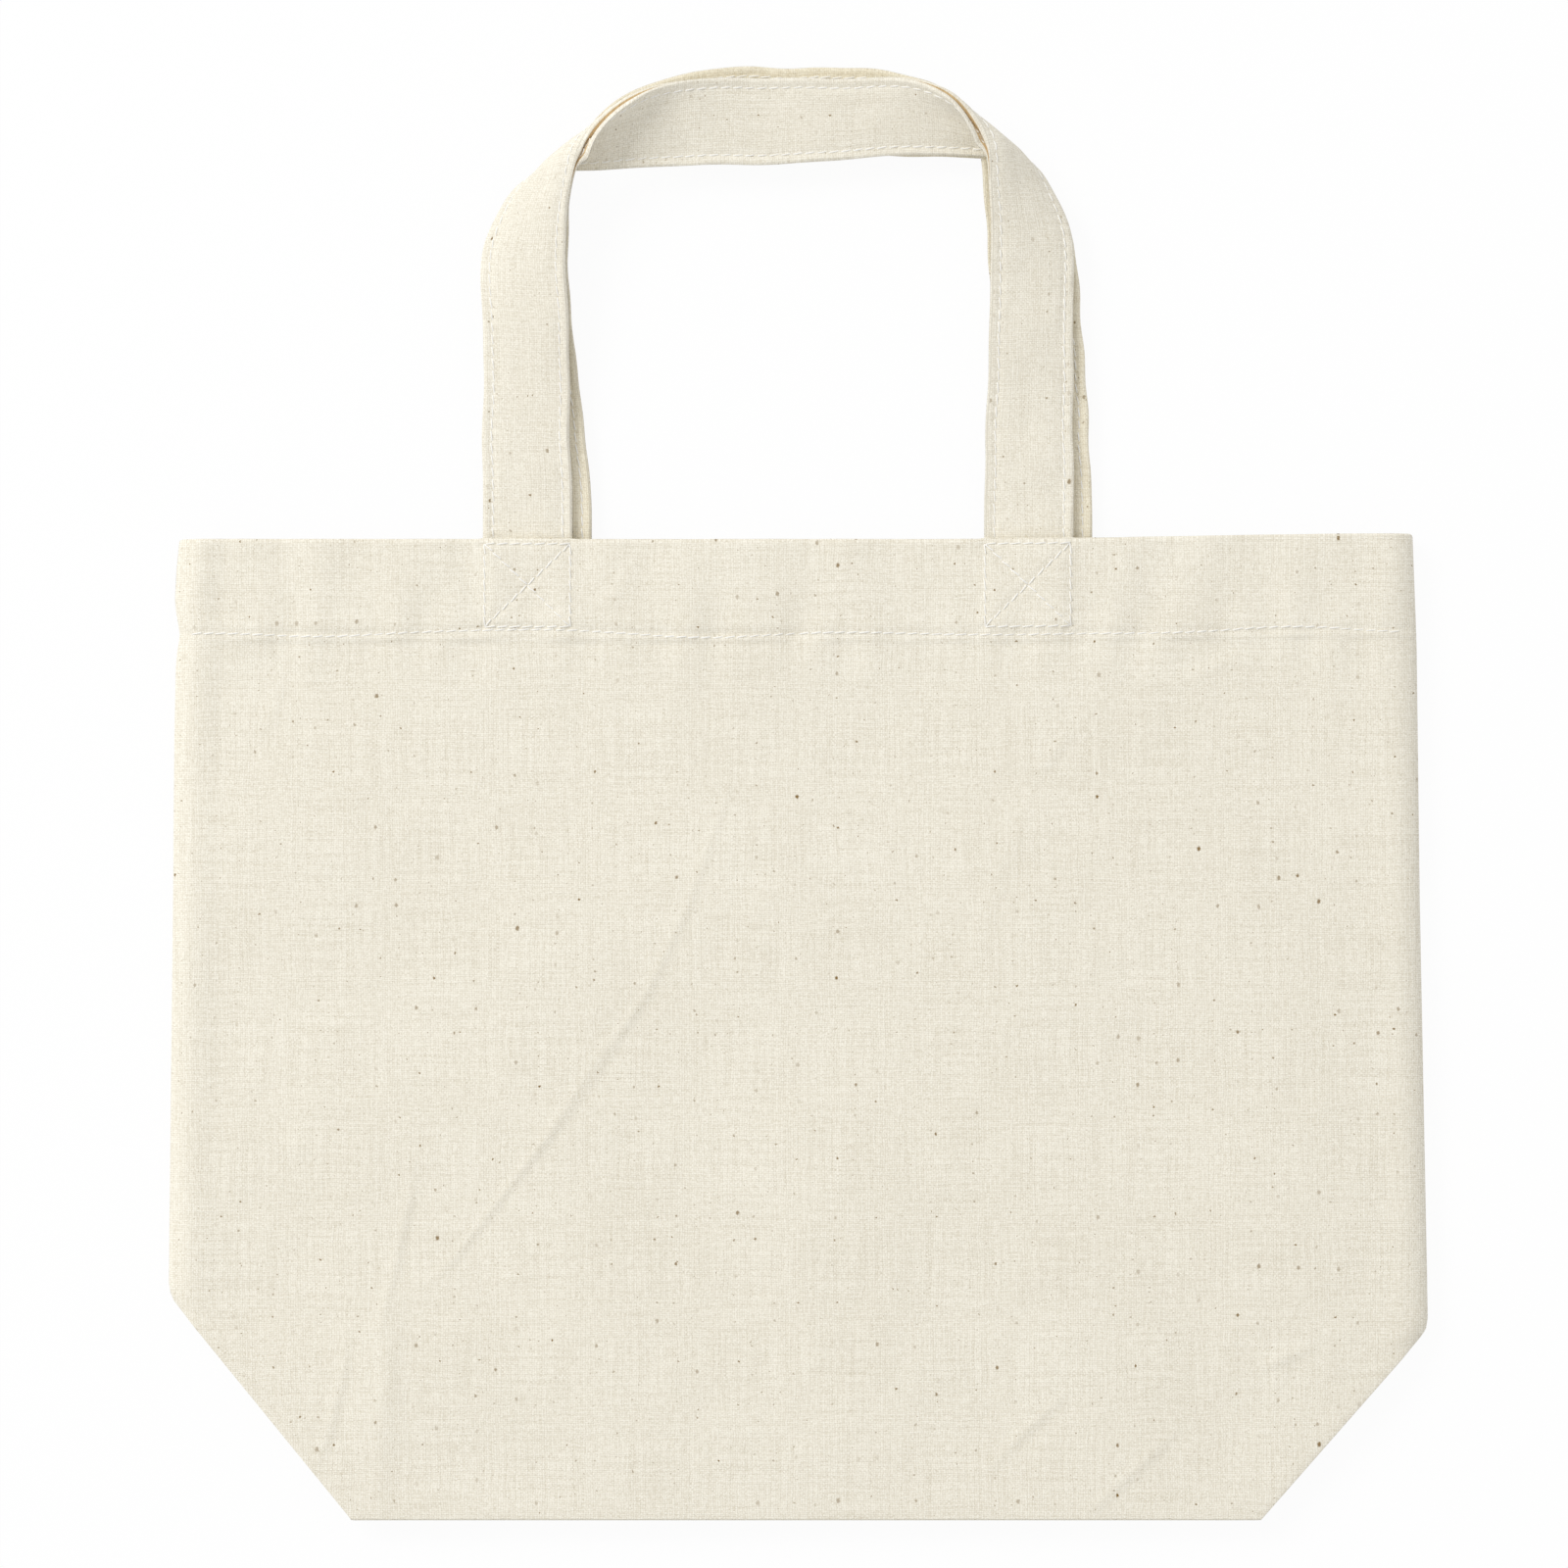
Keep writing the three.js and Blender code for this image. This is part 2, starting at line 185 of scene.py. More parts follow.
table_white, tree = new_tree("table_white")
paper = Wire.of(tree, "ShaderNodeBsdfDiffuse", {}, {"Color": TABLE_GREY})
glow = Wire.of(tree, "ShaderNodeEmission", {}, {"Color": WHITE, "Strength": 1})
lit = Wire.of(tree, "ShaderNodeMixShader", {}, {0: seen_directly(tree) * TABLE_GLOW, 1: paper, 2: glow})
clear = Wire.of(tree, "ShaderNodeBsdfTransparent")
beneath = Wire.of(tree, "ShaderNodeNewGeometry", output="Backfacing")
surface(tree, Wire.of(tree, "ShaderNodeMixShader", {}, {0: beneath, 1: lit, 2: clear}))

table_mesh = bpy.data.meshes.new("table")
corner_sides = ((-1, -1), (1, -1), (1, 1), (-1, 1))
table_corners = [(x * TABLE_REACH, y * TABLE_REACH, -TABLE_DROP) for x, y in corner_sides]
table_mesh.from_pydata(table_corners, [], [(0, 1, 2, 3)])
table_mesh.materials.append(table_white)
table = bpy.data.objects.new("table", table_mesh)
bpy.context.collection.objects.link(table)

world = bpy.data.worlds.new("room")
world.use_nodes = True
bpy.context.scene.world = world
room = world.node_tree
room.nodes.clear()
brightness = seen_directly(room) * (1 - ROOM_LIGHT) + ROOM_LIGHT
air = Wire.of(room, "ShaderNodeBackground", {}, {"Color": WHITE, "Strength": brightness})
Wire.node(room, "ShaderNodeOutputWorld", {}, {"Surface": air})


# Front and back cloth
# Unbleached plain-weave cotton sheeting, with slubs and brown flecks of seed. Each layer runs from the
# bottom crease up to the mouth, turns in there as a hem with its raw edge tucked under, and ends at the
# side seams.

BAG_HEIGHT = 285.0
MIDDLE = 4.5  # height of the side seams, half way through the bag
FOLD_X = 131.0  # where the sides fold when the bag is opened
FOLD_SOFTNESS = 7.0
CLOTH = 0.5  # thickness of the sheeting
WARP_PITCH = 0.70  # from yarn to yarn
WEFT_PITCH = 0.59
HEM_LINE = BAG_HEIGHT - 28.0  # where the hem is stitched
HEM_FOLD = BAG_HEIGHT - 30.0  # lower edge of the turned-in cloth
STITCH = 3.5  # from needle hole to needle hole
SIDES = {"left": -1, "right": 1}

# Outline of the flat bag: height above the bottom crease, and distance out from the middle
LEFT_EDGE = np.array(
    [
        *((0, 129.3), (59.5, 177.8), (61.6, 179.6), (63.4, 181.2), (65.6, 182.3), (68.5, 182.8)),
        *((80, 182.7), (180, 181.6), (228, 181.2), (247, 180.8), (251, 180.5), (254.5, 179.9)),
        *((257, 179.6), (259.5, 179.9), (263, 180.6), (267, 181.0), (276, 180.5), (285, 179.6)),
    ]
).T
RIGHT_EDGE = np.array(
    [
        *((0, 134), (50, 177.9), (52.4, 180.2), (54.2, 181.7), (55.8, 182.5), (58.5, 182.9)),
        *((72, 182.7), (180, 180.6), (252, 179.7), (262, 179.3), (285, 178.4)),
    ]
).T
EDGE_STEPS = np.array([0, 0.15, 0.5, 1.1, 1.9, 2.9, 4.1, 5.5, 7.1, 9.0])  # columns close to an edge
FIELD_COLUMNS = 132


def place(points):
    """Millimetres from the bottom crease to metres in the frame."""
    moved = np.array(points, float)
    moved[..., 1] -= BAG_HEIGHT / 2
    return moved / 1000


def span(first, last):
    """Two places in the frame, from places in millimetres."""
    return [tuple(point) for point in place([first, last])]


def soft_step(value, low, high):
    """0 below low and 1 above high, with a soft start and end."""
    share = np.clip((value - low) / (high - low), 0, 1)
    return share * share * (3 - 2 * share)


def ripples(x, y, seed, count, shortest, longest, slant=1.0):
    """Gentle unevenness: a sum of waves in many directions, about 1 high.

    A slant below 1 lines the waves up with Y.
    """
    draw = np.random.default_rng(seed)
    total = np.zeros_like(x)
    for _ in range(count):
        turn = draw.uniform(0, math.pi)
        wave = 2 * math.pi / draw.uniform(shortest, longest)
        start = draw.uniform(0, 2 * math.pi)
        total += np.sin(wave * (x * math.cos(turn) + y * math.sin(turn) * slant) + start)
    return total / math.sqrt(count / 2)


def distance_to_run(x, y, run):
    """Distance in plan from a straight run, and how far along it the nearest point lies, from 0 to 1."""
    (x0, y0), (x1, y1) = run
    length = (x1 - x0) ** 2 + (y1 - y0) ** 2
    along = np.clip(((x - x0) * (x1 - x0) + (y - y0) * (y1 - y0)) / length, 0, 1)
    return np.hypot(x - x0 - along * (x1 - x0), y - y0 - along * (y1 - y0)), along


def side_of_run(x, y, run):
    """Distance in plan from the line of a run, with a sign for the side."""
    (x0, y0), (x1, y1) = run
    return ((x - x0) * (y1 - y0) - (y - y0) * (x1 - x0)) / math.hypot(x1 - x0, y1 - y0)


CREASE_FADE = 0.6  # how slowly a crease rises from its ends
CREASE_STEP = 0.6  # how far the cloth beside it lies higher or lower, as a share of the ridge
STEP_REACH = 4.0  # widths of the ridge over which that dies away


def crease(x, y, points, width, height):
    """A pressed crease along a line of points: a sharp little ridge, with one side of it a little lower."""
    total = np.zeros_like(x)
    nearest = np.full_like(x, 1e9)
    count = len(points) - 1
    for i, run in enumerate(zip(points[:-1], points[1:])):
        distance, along = distance_to_run(x, y, run)
        fade = np.sin(math.pi * np.clip((i + along) / count, 0.02, 0.98)) ** CREASE_FADE
        step = np.tanh(side_of_run(x, y, run) / width) * np.exp(-distance / (STEP_REACH * width))
        shape = height * fade * (np.exp(-((distance / width) ** 2)) + CREASE_STEP * step)
        total = np.where(distance < nearest, shape, total)
        nearest = np.minimum(nearest, distance)
    return total


STRAP_WIDTH = 25.0
BOX_HALF = 12.4  # half the width of a stitched box
BOX_TOP = BAG_HEIGHT - 1.8
BOX_BOTTOM = BOX_TOP - 24.0
STRAP_CENTRES = {"front": (-78.5, 66.5), "back": (-72.5, 72.5)}


def box_runs(centre):
    """The straight runs of a stitched box with a cross in it."""
    left, right = centre - BOX_HALF, centre + BOX_HALF
    corners = [(left, BOX_BOTTOM), (right, BOX_BOTTOM), (right, BOX_TOP), (left, BOX_TOP)]
    around = list(zip(corners, corners[1:] + corners[:1]))
    return around + [(corners[0], corners[2]), (corners[3], corners[1])]


# Creases of each layer: the points of the line, and the ridge's width and height
CREASES = {
    "front": [
        ([(-18, 218), (-22.5, 205), (-32.5, 176.5), (-44, 152.5), (-61, 125.5), (-78, 102.5)], 1.1, 0.27),
        ([(-45, 151), (-58, 134), (-72.5, 111.5), (-86.5, 93), (-99.5, 76), (-106.5, 69)], 1.1, 0.36),
        ([(-112, 106), (-112, 96), (-114, 86.5), (-116.5, 74), (-119, 64), (-121.5, 53)], 1.1, 0.42),
        ([(-130.5, 54), (-131.5, 43.5), (-134, 32), (-136.5, 23.5), (-141, 13)], 1.1, 0.42),
        ([(-116.5, 70), (-118.5, 50), (-119.5, 30), (-121, 1)], 3.8, 0.50),
        ([(81, 230.5), (74, 222), (69.5, 216.5)], 1.6, 0.24),
        ([(69, 215), (58, 186), (50, 160)], 2.6, 0.16),
        ([(92.5, 282), (99, 268), (104, 260)], 2.4, 0.36),
        ([(106.5, 242), (118, 246), (129.5, 250.5)], 2.0, 0.26),
        ([(78.5, 37.5), (66, 26), (55.5, 15)], 1.5, 0.32),
        ([(112.5, 29), (98, 15), (84, 2)], 1.7, 0.32),
        ([(149, 50), (142, 47.5), (134, 44)], 1.8, 0.42),
        ([(138, 51.5), (141, 44), (138, 36)], 2.2, 0.24),
        ([(-149, 247.5), (-151.5, 236), (-154.5, 228)], 1.8, 0.24),
        ([(-165, 114), (-150, 110), (-140, 108.5)], 2.6, 0.18),
        ([(-60, 262), (-52, 270), (-46, 281)], 2.4, 0.20),
        ([(-104, 283), (-100, 272), (-97, 262)], 2.4, 0.22),
    ],
    "back": [
        ([(40, 60), (72, 110), (84, 170)], 1.6, 0.22),
        ([(-120, 60), (-96, 34), (-70, 4)], 1.8, 0.20),
    ],
}


def edge_drop(distance, width, drop):
    """How far a rounded edge has fallen at some distance in from it."""
    share = 1 - np.clip(distance / width, 0, 1)
    return drop * (1 - np.sqrt(np.clip(1 - share * share, 0, 1)))


LINE_RISE = 1.5  # how far the hem's stitching runs up at the left strap end
LINE_RISE_X = -80.0
LINE_RISE_REACH = 24.0


def hem_line(x):
    """Height of the hem's stitching."""
    return HEM_LINE + LINE_RISE * np.exp(-(((x - LINE_RISE_X) / LINE_RISE_REACH) ** 2))


SEEDS = {"front": 11, "back": 47}

# Unevenness of the cloth: its height, and how many waves with the shortest and the longest of them.
# A fourth number is the slant of the waves.
PUFF = 0.34
PUFF_WAVES = (12, 55, 150)
RUMPLE = 0.035
RUMPLE_WAVES = (26, 9, 26)
HEM_PUCKER = 0.20
HEM_PUCKER_WAVES = (16, 10, 34, 0.25)
LINE_PUCKER = 0.30
LINE_PUCKER_WAVES = (14, 9, 24, 0.2)
LINE_PUCKER_REACH = 9.0

HEM_LIFT = 0.58  # how far the turned-in layers lift the outer one
HEM_LIFT_SOFTNESS = 1.2
LINE_DENT = 0.34  # how deep the hem's stitching draws the cloth in
DENT_BEAT = 0.10  # and how much more or less at each stitch
SWELL_BEAT = 0.07  # the same beside the stitching
SWELL_REACH = 2.4
LINE_SWELL = 0.12  # the soft roll of cloth just above the stitching
LINE_SWELL_Y = 3.2
LINE_SWELL_REACH = 2.0


def hem_relief(x, y, seed):
    """The hem is three layers thick, and puckered along its stitching."""
    in_hem = soft_step(y, HEM_FOLD - HEM_LIFT_SOFTNESS, HEM_FOLD + HEM_LIFT_SOFTNESS)
    to_line = y - hem_line(x)
    beat = np.cos(2 * math.pi * x / STITCH)
    relief = in_hem * (HEM_LIFT + HEM_PUCKER * ripples(x, y, seed + 2, *HEM_PUCKER_WAVES))
    relief -= np.exp(-(to_line**2)) * (LINE_DENT + DENT_BEAT * beat)
    relief += SWELL_BEAT * beat * np.exp(-np.abs(to_line) / SWELL_REACH)
    relief += LINE_SWELL * np.exp(-(((to_line - LINE_SWELL_Y) / LINE_SWELL_REACH) ** 2))
    fading = np.exp(-np.abs(to_line) / LINE_PUCKER_REACH)
    relief += LINE_PUCKER * ripples(x, y, seed + 3, *LINE_PUCKER_WAVES) * fading
    return relief


STRAP_LIFT = 0.5  # how far a strap end lifts the hem
STRAP_LIFT_EDGE = (-0.8, 2.2)  # past the strap's edge, where the lift starts to fall and where it ends
STRAP_LIFT_FOOT = (256.0, 260.0)
BOX_DENT = 0.30  # how deep its stitches draw the cloth in
BOX_DENT_REACH = 0.85


def strap_end_relief(x, y, layer):
    """Each strap end lifts the hem, and its stitches quilt it."""
    relief = np.zeros_like(x)
    for centre in STRAP_CENTRES[layer]:
        past_edge = np.abs(x - centre) - STRAP_WIDTH / 2
        relief += STRAP_LIFT * (1 - soft_step(past_edge, *STRAP_LIFT_EDGE)) * soft_step(y, *STRAP_LIFT_FOOT)
        for run in box_runs(centre):
            distance, along = distance_to_run(x, y, run)
            tug = BOX_DENT + DENT_BEAT * np.cos(2 * math.pi * along * math.dist(*run) / STITCH)
            relief -= tug * np.exp(-((distance / BOX_DENT_REACH) ** 2))
    return relief


SEAM_FEET = {"left": 65.0, "right": 55.0}  # where the side seams begin, above the slanting corners
SEAM_START = (-9, 1)  # below and above there, where the slanting corner passes into the seam
SLANT_SHARE = 0.75  # a slanting edge is nearer than it is sideways, by this share
CALM_EDGE = (1, 22)  # in from the sides and the bottom, where the puff sets in and where it is whole
CALM_BOTTOM = (1, 25)
CALM_HEM = (HEM_LINE - 6, HEM_LINE)  # and where it halves, up to the hem
LEFT_BULK = 0.4  # how far the seam allowance inside lifts the cloth beside each edge
LEFT_HEM_BULK = 0.5  # and the turned-in hem adds to it on the left, between these heights
LEFT_HEM_FOOT = (212, 250)
RIGHT_BULK = 0.22
BULK_RISE = (1.5, 6.5)  # in from the edge, where the lift rises and where it falls again
BULK_FALL = (7.8, 14.5)
CREASE_ROUND = 4.0  # width and drop of the rounded edges at the bottom and the slanting corners
CREASE_DROP = 0.5
SEAM_ROUND = 3.5  # what the side seams add to that
SEAM_DROP = MIDDLE - 0.6
LAYER_GAP = 0.03  # between the outer face and the bag's flat thickness


def outward(x, y, layer):
    """Height of the cloth's outer face above the middle of the bag."""
    left, right = np.interp(y, *LEFT_EDGE), np.interp(y, *RIGHT_EDGE)
    on_left = x < 0
    seam_foot = np.where(on_left, SEAM_FEET["left"], SEAM_FEET["right"])
    seam = soft_step(y - seam_foot, *SEAM_START)  # 0 at the slanting corners, 1 along the seams
    to_edge = np.where(on_left, x + left, right - x) * (SLANT_SHARE + (1 - SLANT_SHARE) * seam)
    seed = SEEDS[layer]
    calm = soft_step(to_edge, *CALM_EDGE) * soft_step(y, *CALM_BOTTOM) * (1 - 0.5 * soft_step(y, *CALM_HEM))
    puff = PUFF * ripples(x, y, seed, *PUFF_WAVES) + RUMPLE * ripples(x, y, seed + 1, *RUMPLE_WAVES)
    shape = puff * calm
    for points, width, height in CREASES[layer]:
        shape += crease(x, y, points, width, height)
    bulk = np.where(on_left, LEFT_BULK + LEFT_HEM_BULK * soft_step(y, *LEFT_HEM_FOOT), RIGHT_BULK)
    shape += bulk * soft_step(to_edge, *BULK_RISE) * (1 - soft_step(to_edge, *BULK_FALL)) * seam
    shape += hem_relief(x, y, seed) + strap_end_relief(x, y, layer)
    if layer == "back":
        shape = -np.abs(shape)  # the back lies on the table, so that its relief goes inwards
    side_drop = edge_drop(to_edge, CREASE_ROUND + SEAM_ROUND * seam, CREASE_DROP + SEAM_DROP * seam)
    bottom_drop = edge_drop(y, CREASE_ROUND, CREASE_DROP)
    return MIDDLE - LAYER_GAP + shape - np.maximum(side_drop, bottom_drop)


def sign_of(layer):
    """The way out of a layer along Z."""
    return 1.0 if layer == "front" else -1.0


def plan(rows):
    """Positions in plan over a whole layer, one row for each height: close together at the edges."""
    left = -np.interp(rows, *LEFT_EDGE)[:, None]
    right = np.interp(rows, *RIGHT_EDGE)[:, None]
    share = np.linspace(0, 1, FIELD_COLUMNS)[None, :]
    inset = EDGE_STEPS[-1]
    x = np.concatenate(
        [
            left + EDGE_STEPS[None, :-1],
            (left + inset) * (1 - share),
            (right - inset) * share[:, 1:],
            right - EDGE_STEPS[None, -2::-1],
        ],
        axis=1,
    )
    y = np.repeat(rows[:, None], x.shape[1], axis=1)
    return x, y


MIDDLE_COLUMN = len(EDGE_STEPS) - 1 + FIELD_COLUMNS - 1
MOUTH_RISE = 1.6
MOUTH_RISE_X = (40.0, 178.0)  # where the rise starts and where it is whole
MOUTH_RISE_Y = (150.0, BAG_HEIGHT)


def mouth_rise(x, y):
    """The mouth's right end lies a little higher than its left."""
    return MOUTH_RISE * soft_step(x, *MOUTH_RISE_X) * soft_step(y, *MOUTH_RISE_Y)


def grid_normals(points, flip):
    """Directions out of a grid of points, or into it."""
    across = np.gradient(points, axis=1)
    along = np.gradient(points, axis=0)
    normals = np.cross(across, along)
    normals /= np.linalg.norm(normals, axis=2, keepdims=True) + 1e-12
    return -normals if flip else normals


def layer_face(rows, layer):
    """The outer face of a layer over these rows, and its outward normals."""
    x, y = plan(rows)
    z = MIDDLE + sign_of(layer) * outward(x, y, layer)
    points = np.stack([x, y + mouth_rise(x, y), z], axis=2)
    return points, grid_normals(points, layer == "back")


def turned(edge, normals, outwards, radius, steps=6):
    """Rows that turn an edge of cloth over and back on itself, without the edge itself."""
    angles = np.linspace(0, math.pi, steps + 1)[1:]
    return [edge + radius * (math.sin(a) * outwards - (1 - math.cos(a)) * normals) for a in angles]


FOLD_RADIUS = 1.05  # of the mouth's edge, on the outside
TUCK_RADIUS = 0.55  # of the lower edge of the turned-in cloth
TUCK = 8.0  # how far its raw edge is tucked under
BOTTOM_ROWS = [0.6, 1.2, 2.2, 3.4]  # heights of the first rows, close to the bottom crease
BODY_STEP = 1.3  # from row to row above them
HEM_STEP = 0.62


def lengths_along(line):
    """The distance of each point from the first, along the line."""
    return np.concatenate([[0], np.cumsum(np.linalg.norm(np.diff(line, axis=0), axis=1))])


def cloth_with_hem(layer):
    """The whole of one layer: outer face, mouth, facing and tucked raw edge, and its place in the cloth."""
    body_rows = np.concatenate([BOTTOM_ROWS, np.arange(5.0, HEM_FOLD - 3, BODY_STEP)])
    rows = np.concatenate([body_rows, np.arange(HEM_FOLD - 3, BAG_HEIGHT - FOLD_RADIUS, HEM_STEP)])
    face, normals = layer_face(rows, layer)
    up = np.array([0.0, 1.0, 0.0])
    over = turned(face[-1], normals[-1], up, FOLD_RADIUS)
    hem_rows = np.flatnonzero(rows > HEM_FOLD + TUCK_RADIUS)[::-1]
    facing = [face[i] - 2 * FOLD_RADIUS * normals[i] for i in hem_rows[::3]]
    last = hem_rows[::3][-1]
    under = turned(facing[-1], -normals[last], -up, TUCK_RADIUS, 5)
    tuck_rows = np.flatnonzero((rows > rows[last] + 0.3) & (rows < rows[last] + TUCK))[::4]
    tuck = [face[i] - 2 * (FOLD_RADIUS - TUCK_RADIUS) * normals[i] for i in tuck_rows]
    points = np.concatenate([face, np.array(over), np.array(facing), np.array(under), np.array(tuck)])
    along = lengths_along(points[:, MIDDLE_COLUMN])
    cloth = np.stack([points[..., 0], np.repeat(along[:, None], points.shape[1], axis=1)], axis=2)
    cloth[: len(face), :, 1] = face[..., 1]
    return points, cloth


def shell(name, points, normals, cloth, material, thickness=CLOTH, flip=False, crisp=True):
    """A closed sheet of cloth: the outer face given, an inner face a thickness behind it, and a rim."""
    rows, columns = points.shape[:2]
    count = rows * columns
    index = np.arange(count).reshape(rows, columns)
    quads = np.stack([index[:-1, :-1], index[:-1, 1:], index[1:, 1:], index[1:, :-1]], -1).reshape(-1, 4)
    rim = np.concatenate([index[0, :-1], index[:-1, -1], index[-1, :0:-1], index[:0:-1, 0]])
    after = np.roll(rim, -1)
    walls = np.stack([after, rim, rim + count, after + count], -1)
    faces = np.concatenate([quads, quads[:, ::-1] + count, walls])
    if flip:
        faces = faces[:, ::-1]
    corners = np.concatenate([points.reshape(-1, 3), (points - normals * thickness).reshape(-1, 3)])
    leans = np.concatenate([normals.reshape(-1, 3), -normals.reshape(-1, 3)]) if crisp else None
    return mesh_piece(name, corners, faces.tolist(), np.tile(cloth.reshape(-1, 2), (2, 1)), material, leans)


def mesh_piece(name, corners, faces, cloth, material, leans=None):
    """A mesh object from corners in millimetres, with the weave's coordinates in metres as its UV map."""
    mesh = bpy.data.meshes.new(name)
    mesh.from_pydata(place(corners).tolist(), [], faces)
    weave = mesh.uv_layers.new(name="weave")
    loop_corner = np.empty(len(mesh.loops), np.int32)
    mesh.loops.foreach_get("vertex_index", loop_corner)
    weave.data.foreach_set("uv", (cloth[loop_corner] / 1000).astype(np.float32).ravel())
    mesh.polygons.foreach_set("use_smooth", np.ones(len(mesh.polygons), bool))
    mesh.materials.append(material)
    mesh.validate()
    if leans is not None:
        mesh.normals_split_custom_set_from_vertices(leans.tolist())
    piece = bpy.data.objects.new(name, mesh)
    bpy.context.collection.objects.link(piece)
    return piece


def noise(tree, x, y, detail=2.0, roughness=0.5):
    """Blender's noise, from about 0.25 to 0.75, on coordinates that are already in its own cells."""
    where = Wire.of(tree, "ShaderNodeCombineXYZ", {}, {"X": x, "Y": y})
    sockets = {"Vector": where, "Scale": 1, "Detail": detail, "Roughness": roughness}
    return Wire.of(tree, "ShaderNodeTexNoise", {"noise_dimensions": "2D"}, sockets)


PALEST_FLECK = 0.10  # its darkness, where the darkest is 1


def flecks(tree, x, y, cell, stretch, smallest, largest):
    """How dark the cloth is with specks of seed: one in each cell at most, few of them large or dark."""
    where = Wire.of(tree, "ShaderNodeCombineXYZ", {}, {"X": x / (cell * stretch), "Y": y / (cell / stretch)})
    settings = {"voronoi_dimensions": "2D"}
    specks = Wire.node(tree, "ShaderNodeTexVoronoi", settings, {"Vector": where, "Scale": 1})
    distance = Wire(tree, specks.outputs["Distance"])
    draw = Wire.node(tree, "ShaderNodeSeparateXYZ", {}, {0: Wire(tree, specks.outputs["Color"])})
    first, second = (Wire(tree, draw.outputs[axis]) for axis in ("X", "Y"))
    size = (first**5) * (largest / cell) + smallest / cell
    spot = 1 - (distance / size).between(0.5, 1.15)
    return spot * (PALEST_FLECK + (second**2.8) * (1 - PALEST_FLECK))


YARN_WANDER = 1.1  # how far the yarns stray, over these lengths across and along them
WANDER_ACROSS = 30
WANDER_ALONG = 11
SLUB_LENGTH = 30  # of a yarn's thick and thin places
SHORT_SLUB = 2.8
FIBRE = 0.5
CLOUD = 34  # size of the cloth's pale and dark blotches
FLECK_RAG = 0.7  # how ragged a fleck's outline is
RAG_CELL = 0.45
LARGE_FLECKS = (6.6, 0.88, 0.18, 0.58)  # room for one, its stretch, and the smallest and largest
SMALL_FLECKS = (4.9, 0.85, 0.15, 0.24)
SEED_BROWN = (0.21, 0.115, 0.012, 1)


def cotton(name, dark, pale, shift=0.0):
    """Plain-weave cotton: yarns over and under each other, thick and thin places, blotches and flecks."""
    material, tree = new_tree(name)
    cloth = Wire.of(tree, "ShaderNodeUVMap", {"uv_map": "weave"})
    split = Wire.node(tree, "ShaderNodeSeparateXYZ", {}, {0: cloth})
    x = Wire(tree, split.outputs["X"]) * 1000 + shift
    y = Wire(tree, split.outputs["Y"]) * 1000
    wander_x = x + (noise(tree, x / WANDER_ACROSS, y / WANDER_ALONG) - 0.5) * YARN_WANDER
    wander_y = y + (noise(tree, x / WANDER_ALONG, y / WANDER_ACROSS) - 0.5) * YARN_WANDER
    warp = (wander_x * (math.pi / WARP_PITCH)).sine()
    weft = (wander_y * (math.pi / WEFT_PITCH)).sine()
    over = (warp * weft).between(-0.25, 0.25)
    yarn = over * abs(warp) + (1 - over) * abs(weft)
    # each yarn's short places are read 60 yarns on, so that they don't follow its long ones
    thick_warp = noise(tree, wander_x / WARP_PITCH, y / SLUB_LENGTH, 1)
    thick_warp = thick_warp + noise(tree, wander_x / WARP_PITCH + 60, y / SHORT_SLUB, 1)
    thick_weft = noise(tree, x / SLUB_LENGTH, wander_y / WEFT_PITCH, 1)
    thick_weft = thick_weft + noise(tree, x / SHORT_SLUB, wander_y / WEFT_PITCH + 60, 1)
    slub = over * thick_warp + (1 - over) * thick_weft - 0.5
    fibre = noise(tree, x / FIBRE, y / FIBRE, 1)
    cloud = noise(tree, x / CLOUD, y / CLOUD, 2, 0.5)
    # painted shade: the yarns' relief also sets the tone, lighter on each yarn's crown and darker at its
    # sides and between yarns
    tone = yarn * 0.55 + (slub - 0.5) * 0.95 + (fibre - 0.5) * 0.75 + (cloud - 0.5) * 0.12 + 0.24
    colour = tone.tinted(dark, pale)
    jitter_x = x + (noise(tree, x / RAG_CELL, y / RAG_CELL) - 0.5) * FLECK_RAG
    jitter_y = y + (noise(tree, x / RAG_CELL + 40, y / RAG_CELL) - 0.5) * FLECK_RAG
    seed = flecks(tree, jitter_x, jitter_y, *LARGE_FLECKS)
    seed = seed.math("MAXIMUM", flecks(tree, jitter_y + 3.1, jitter_x + 5.7, *SMALL_FLECKS))
    colour = seed.tinted(colour, SEED_BROWN)
    height = yarn * 0.6 + slub * 0.9
    bump = Wire.of(tree, "ShaderNodeBump", {}, {"Height": height, "Strength": 0.6, "Distance": 0.00017})
    finish = {"Base Color": colour, "Roughness": 0.92, "Normal": bump}
    finish.update({"Sheen Weight": 0.12, "Sheen Roughness": 0.6})
    surface(tree, Wire.of(tree, "ShaderNodeBsdfPrincipled", {}, finish))
    return material


COTTON_SHADES = ((0.70, 0.64, 0.51, 1), (0.975, 0.935, 0.82, 1))
body_cotton = cotton("body_cotton", *COTTON_SHADES)


def side_fold(hand):
    """Where cloth across the fold of one side starts to turn with it, and where it turns wholly."""
    side = SIDES[hand]
    return span([side * (FOLD_X - FOLD_SOFTNESS), 0, 0], [side * (FOLD_X + FOLD_SOFTNESS), 0, 0])


cloth_faces = {}
for layer in ("front", "back"):
    points, cloth = cloth_with_hem(layer)
    back = layer == "back"
    normals = grid_normals(points, back)
    cloth_faces[layer] = (points, normals)
    columns = {"left": slice(None, MIDDLE_COLUMN + 1), "right": slice(MIDDLE_COLUMN, None)}
    for hand, part in columns.items():
        name = f"{layer}_cloth_{hand}"
        piece = shell(name, points[:, part], normals[:, part], cloth[:, part], body_cotton, flip=back)
        start, end = side_fold(hand)
        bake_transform(piece)
        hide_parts(f"{hand}_{layer}_side", *([f"{layer}_panel"] if hand == "right" else []))
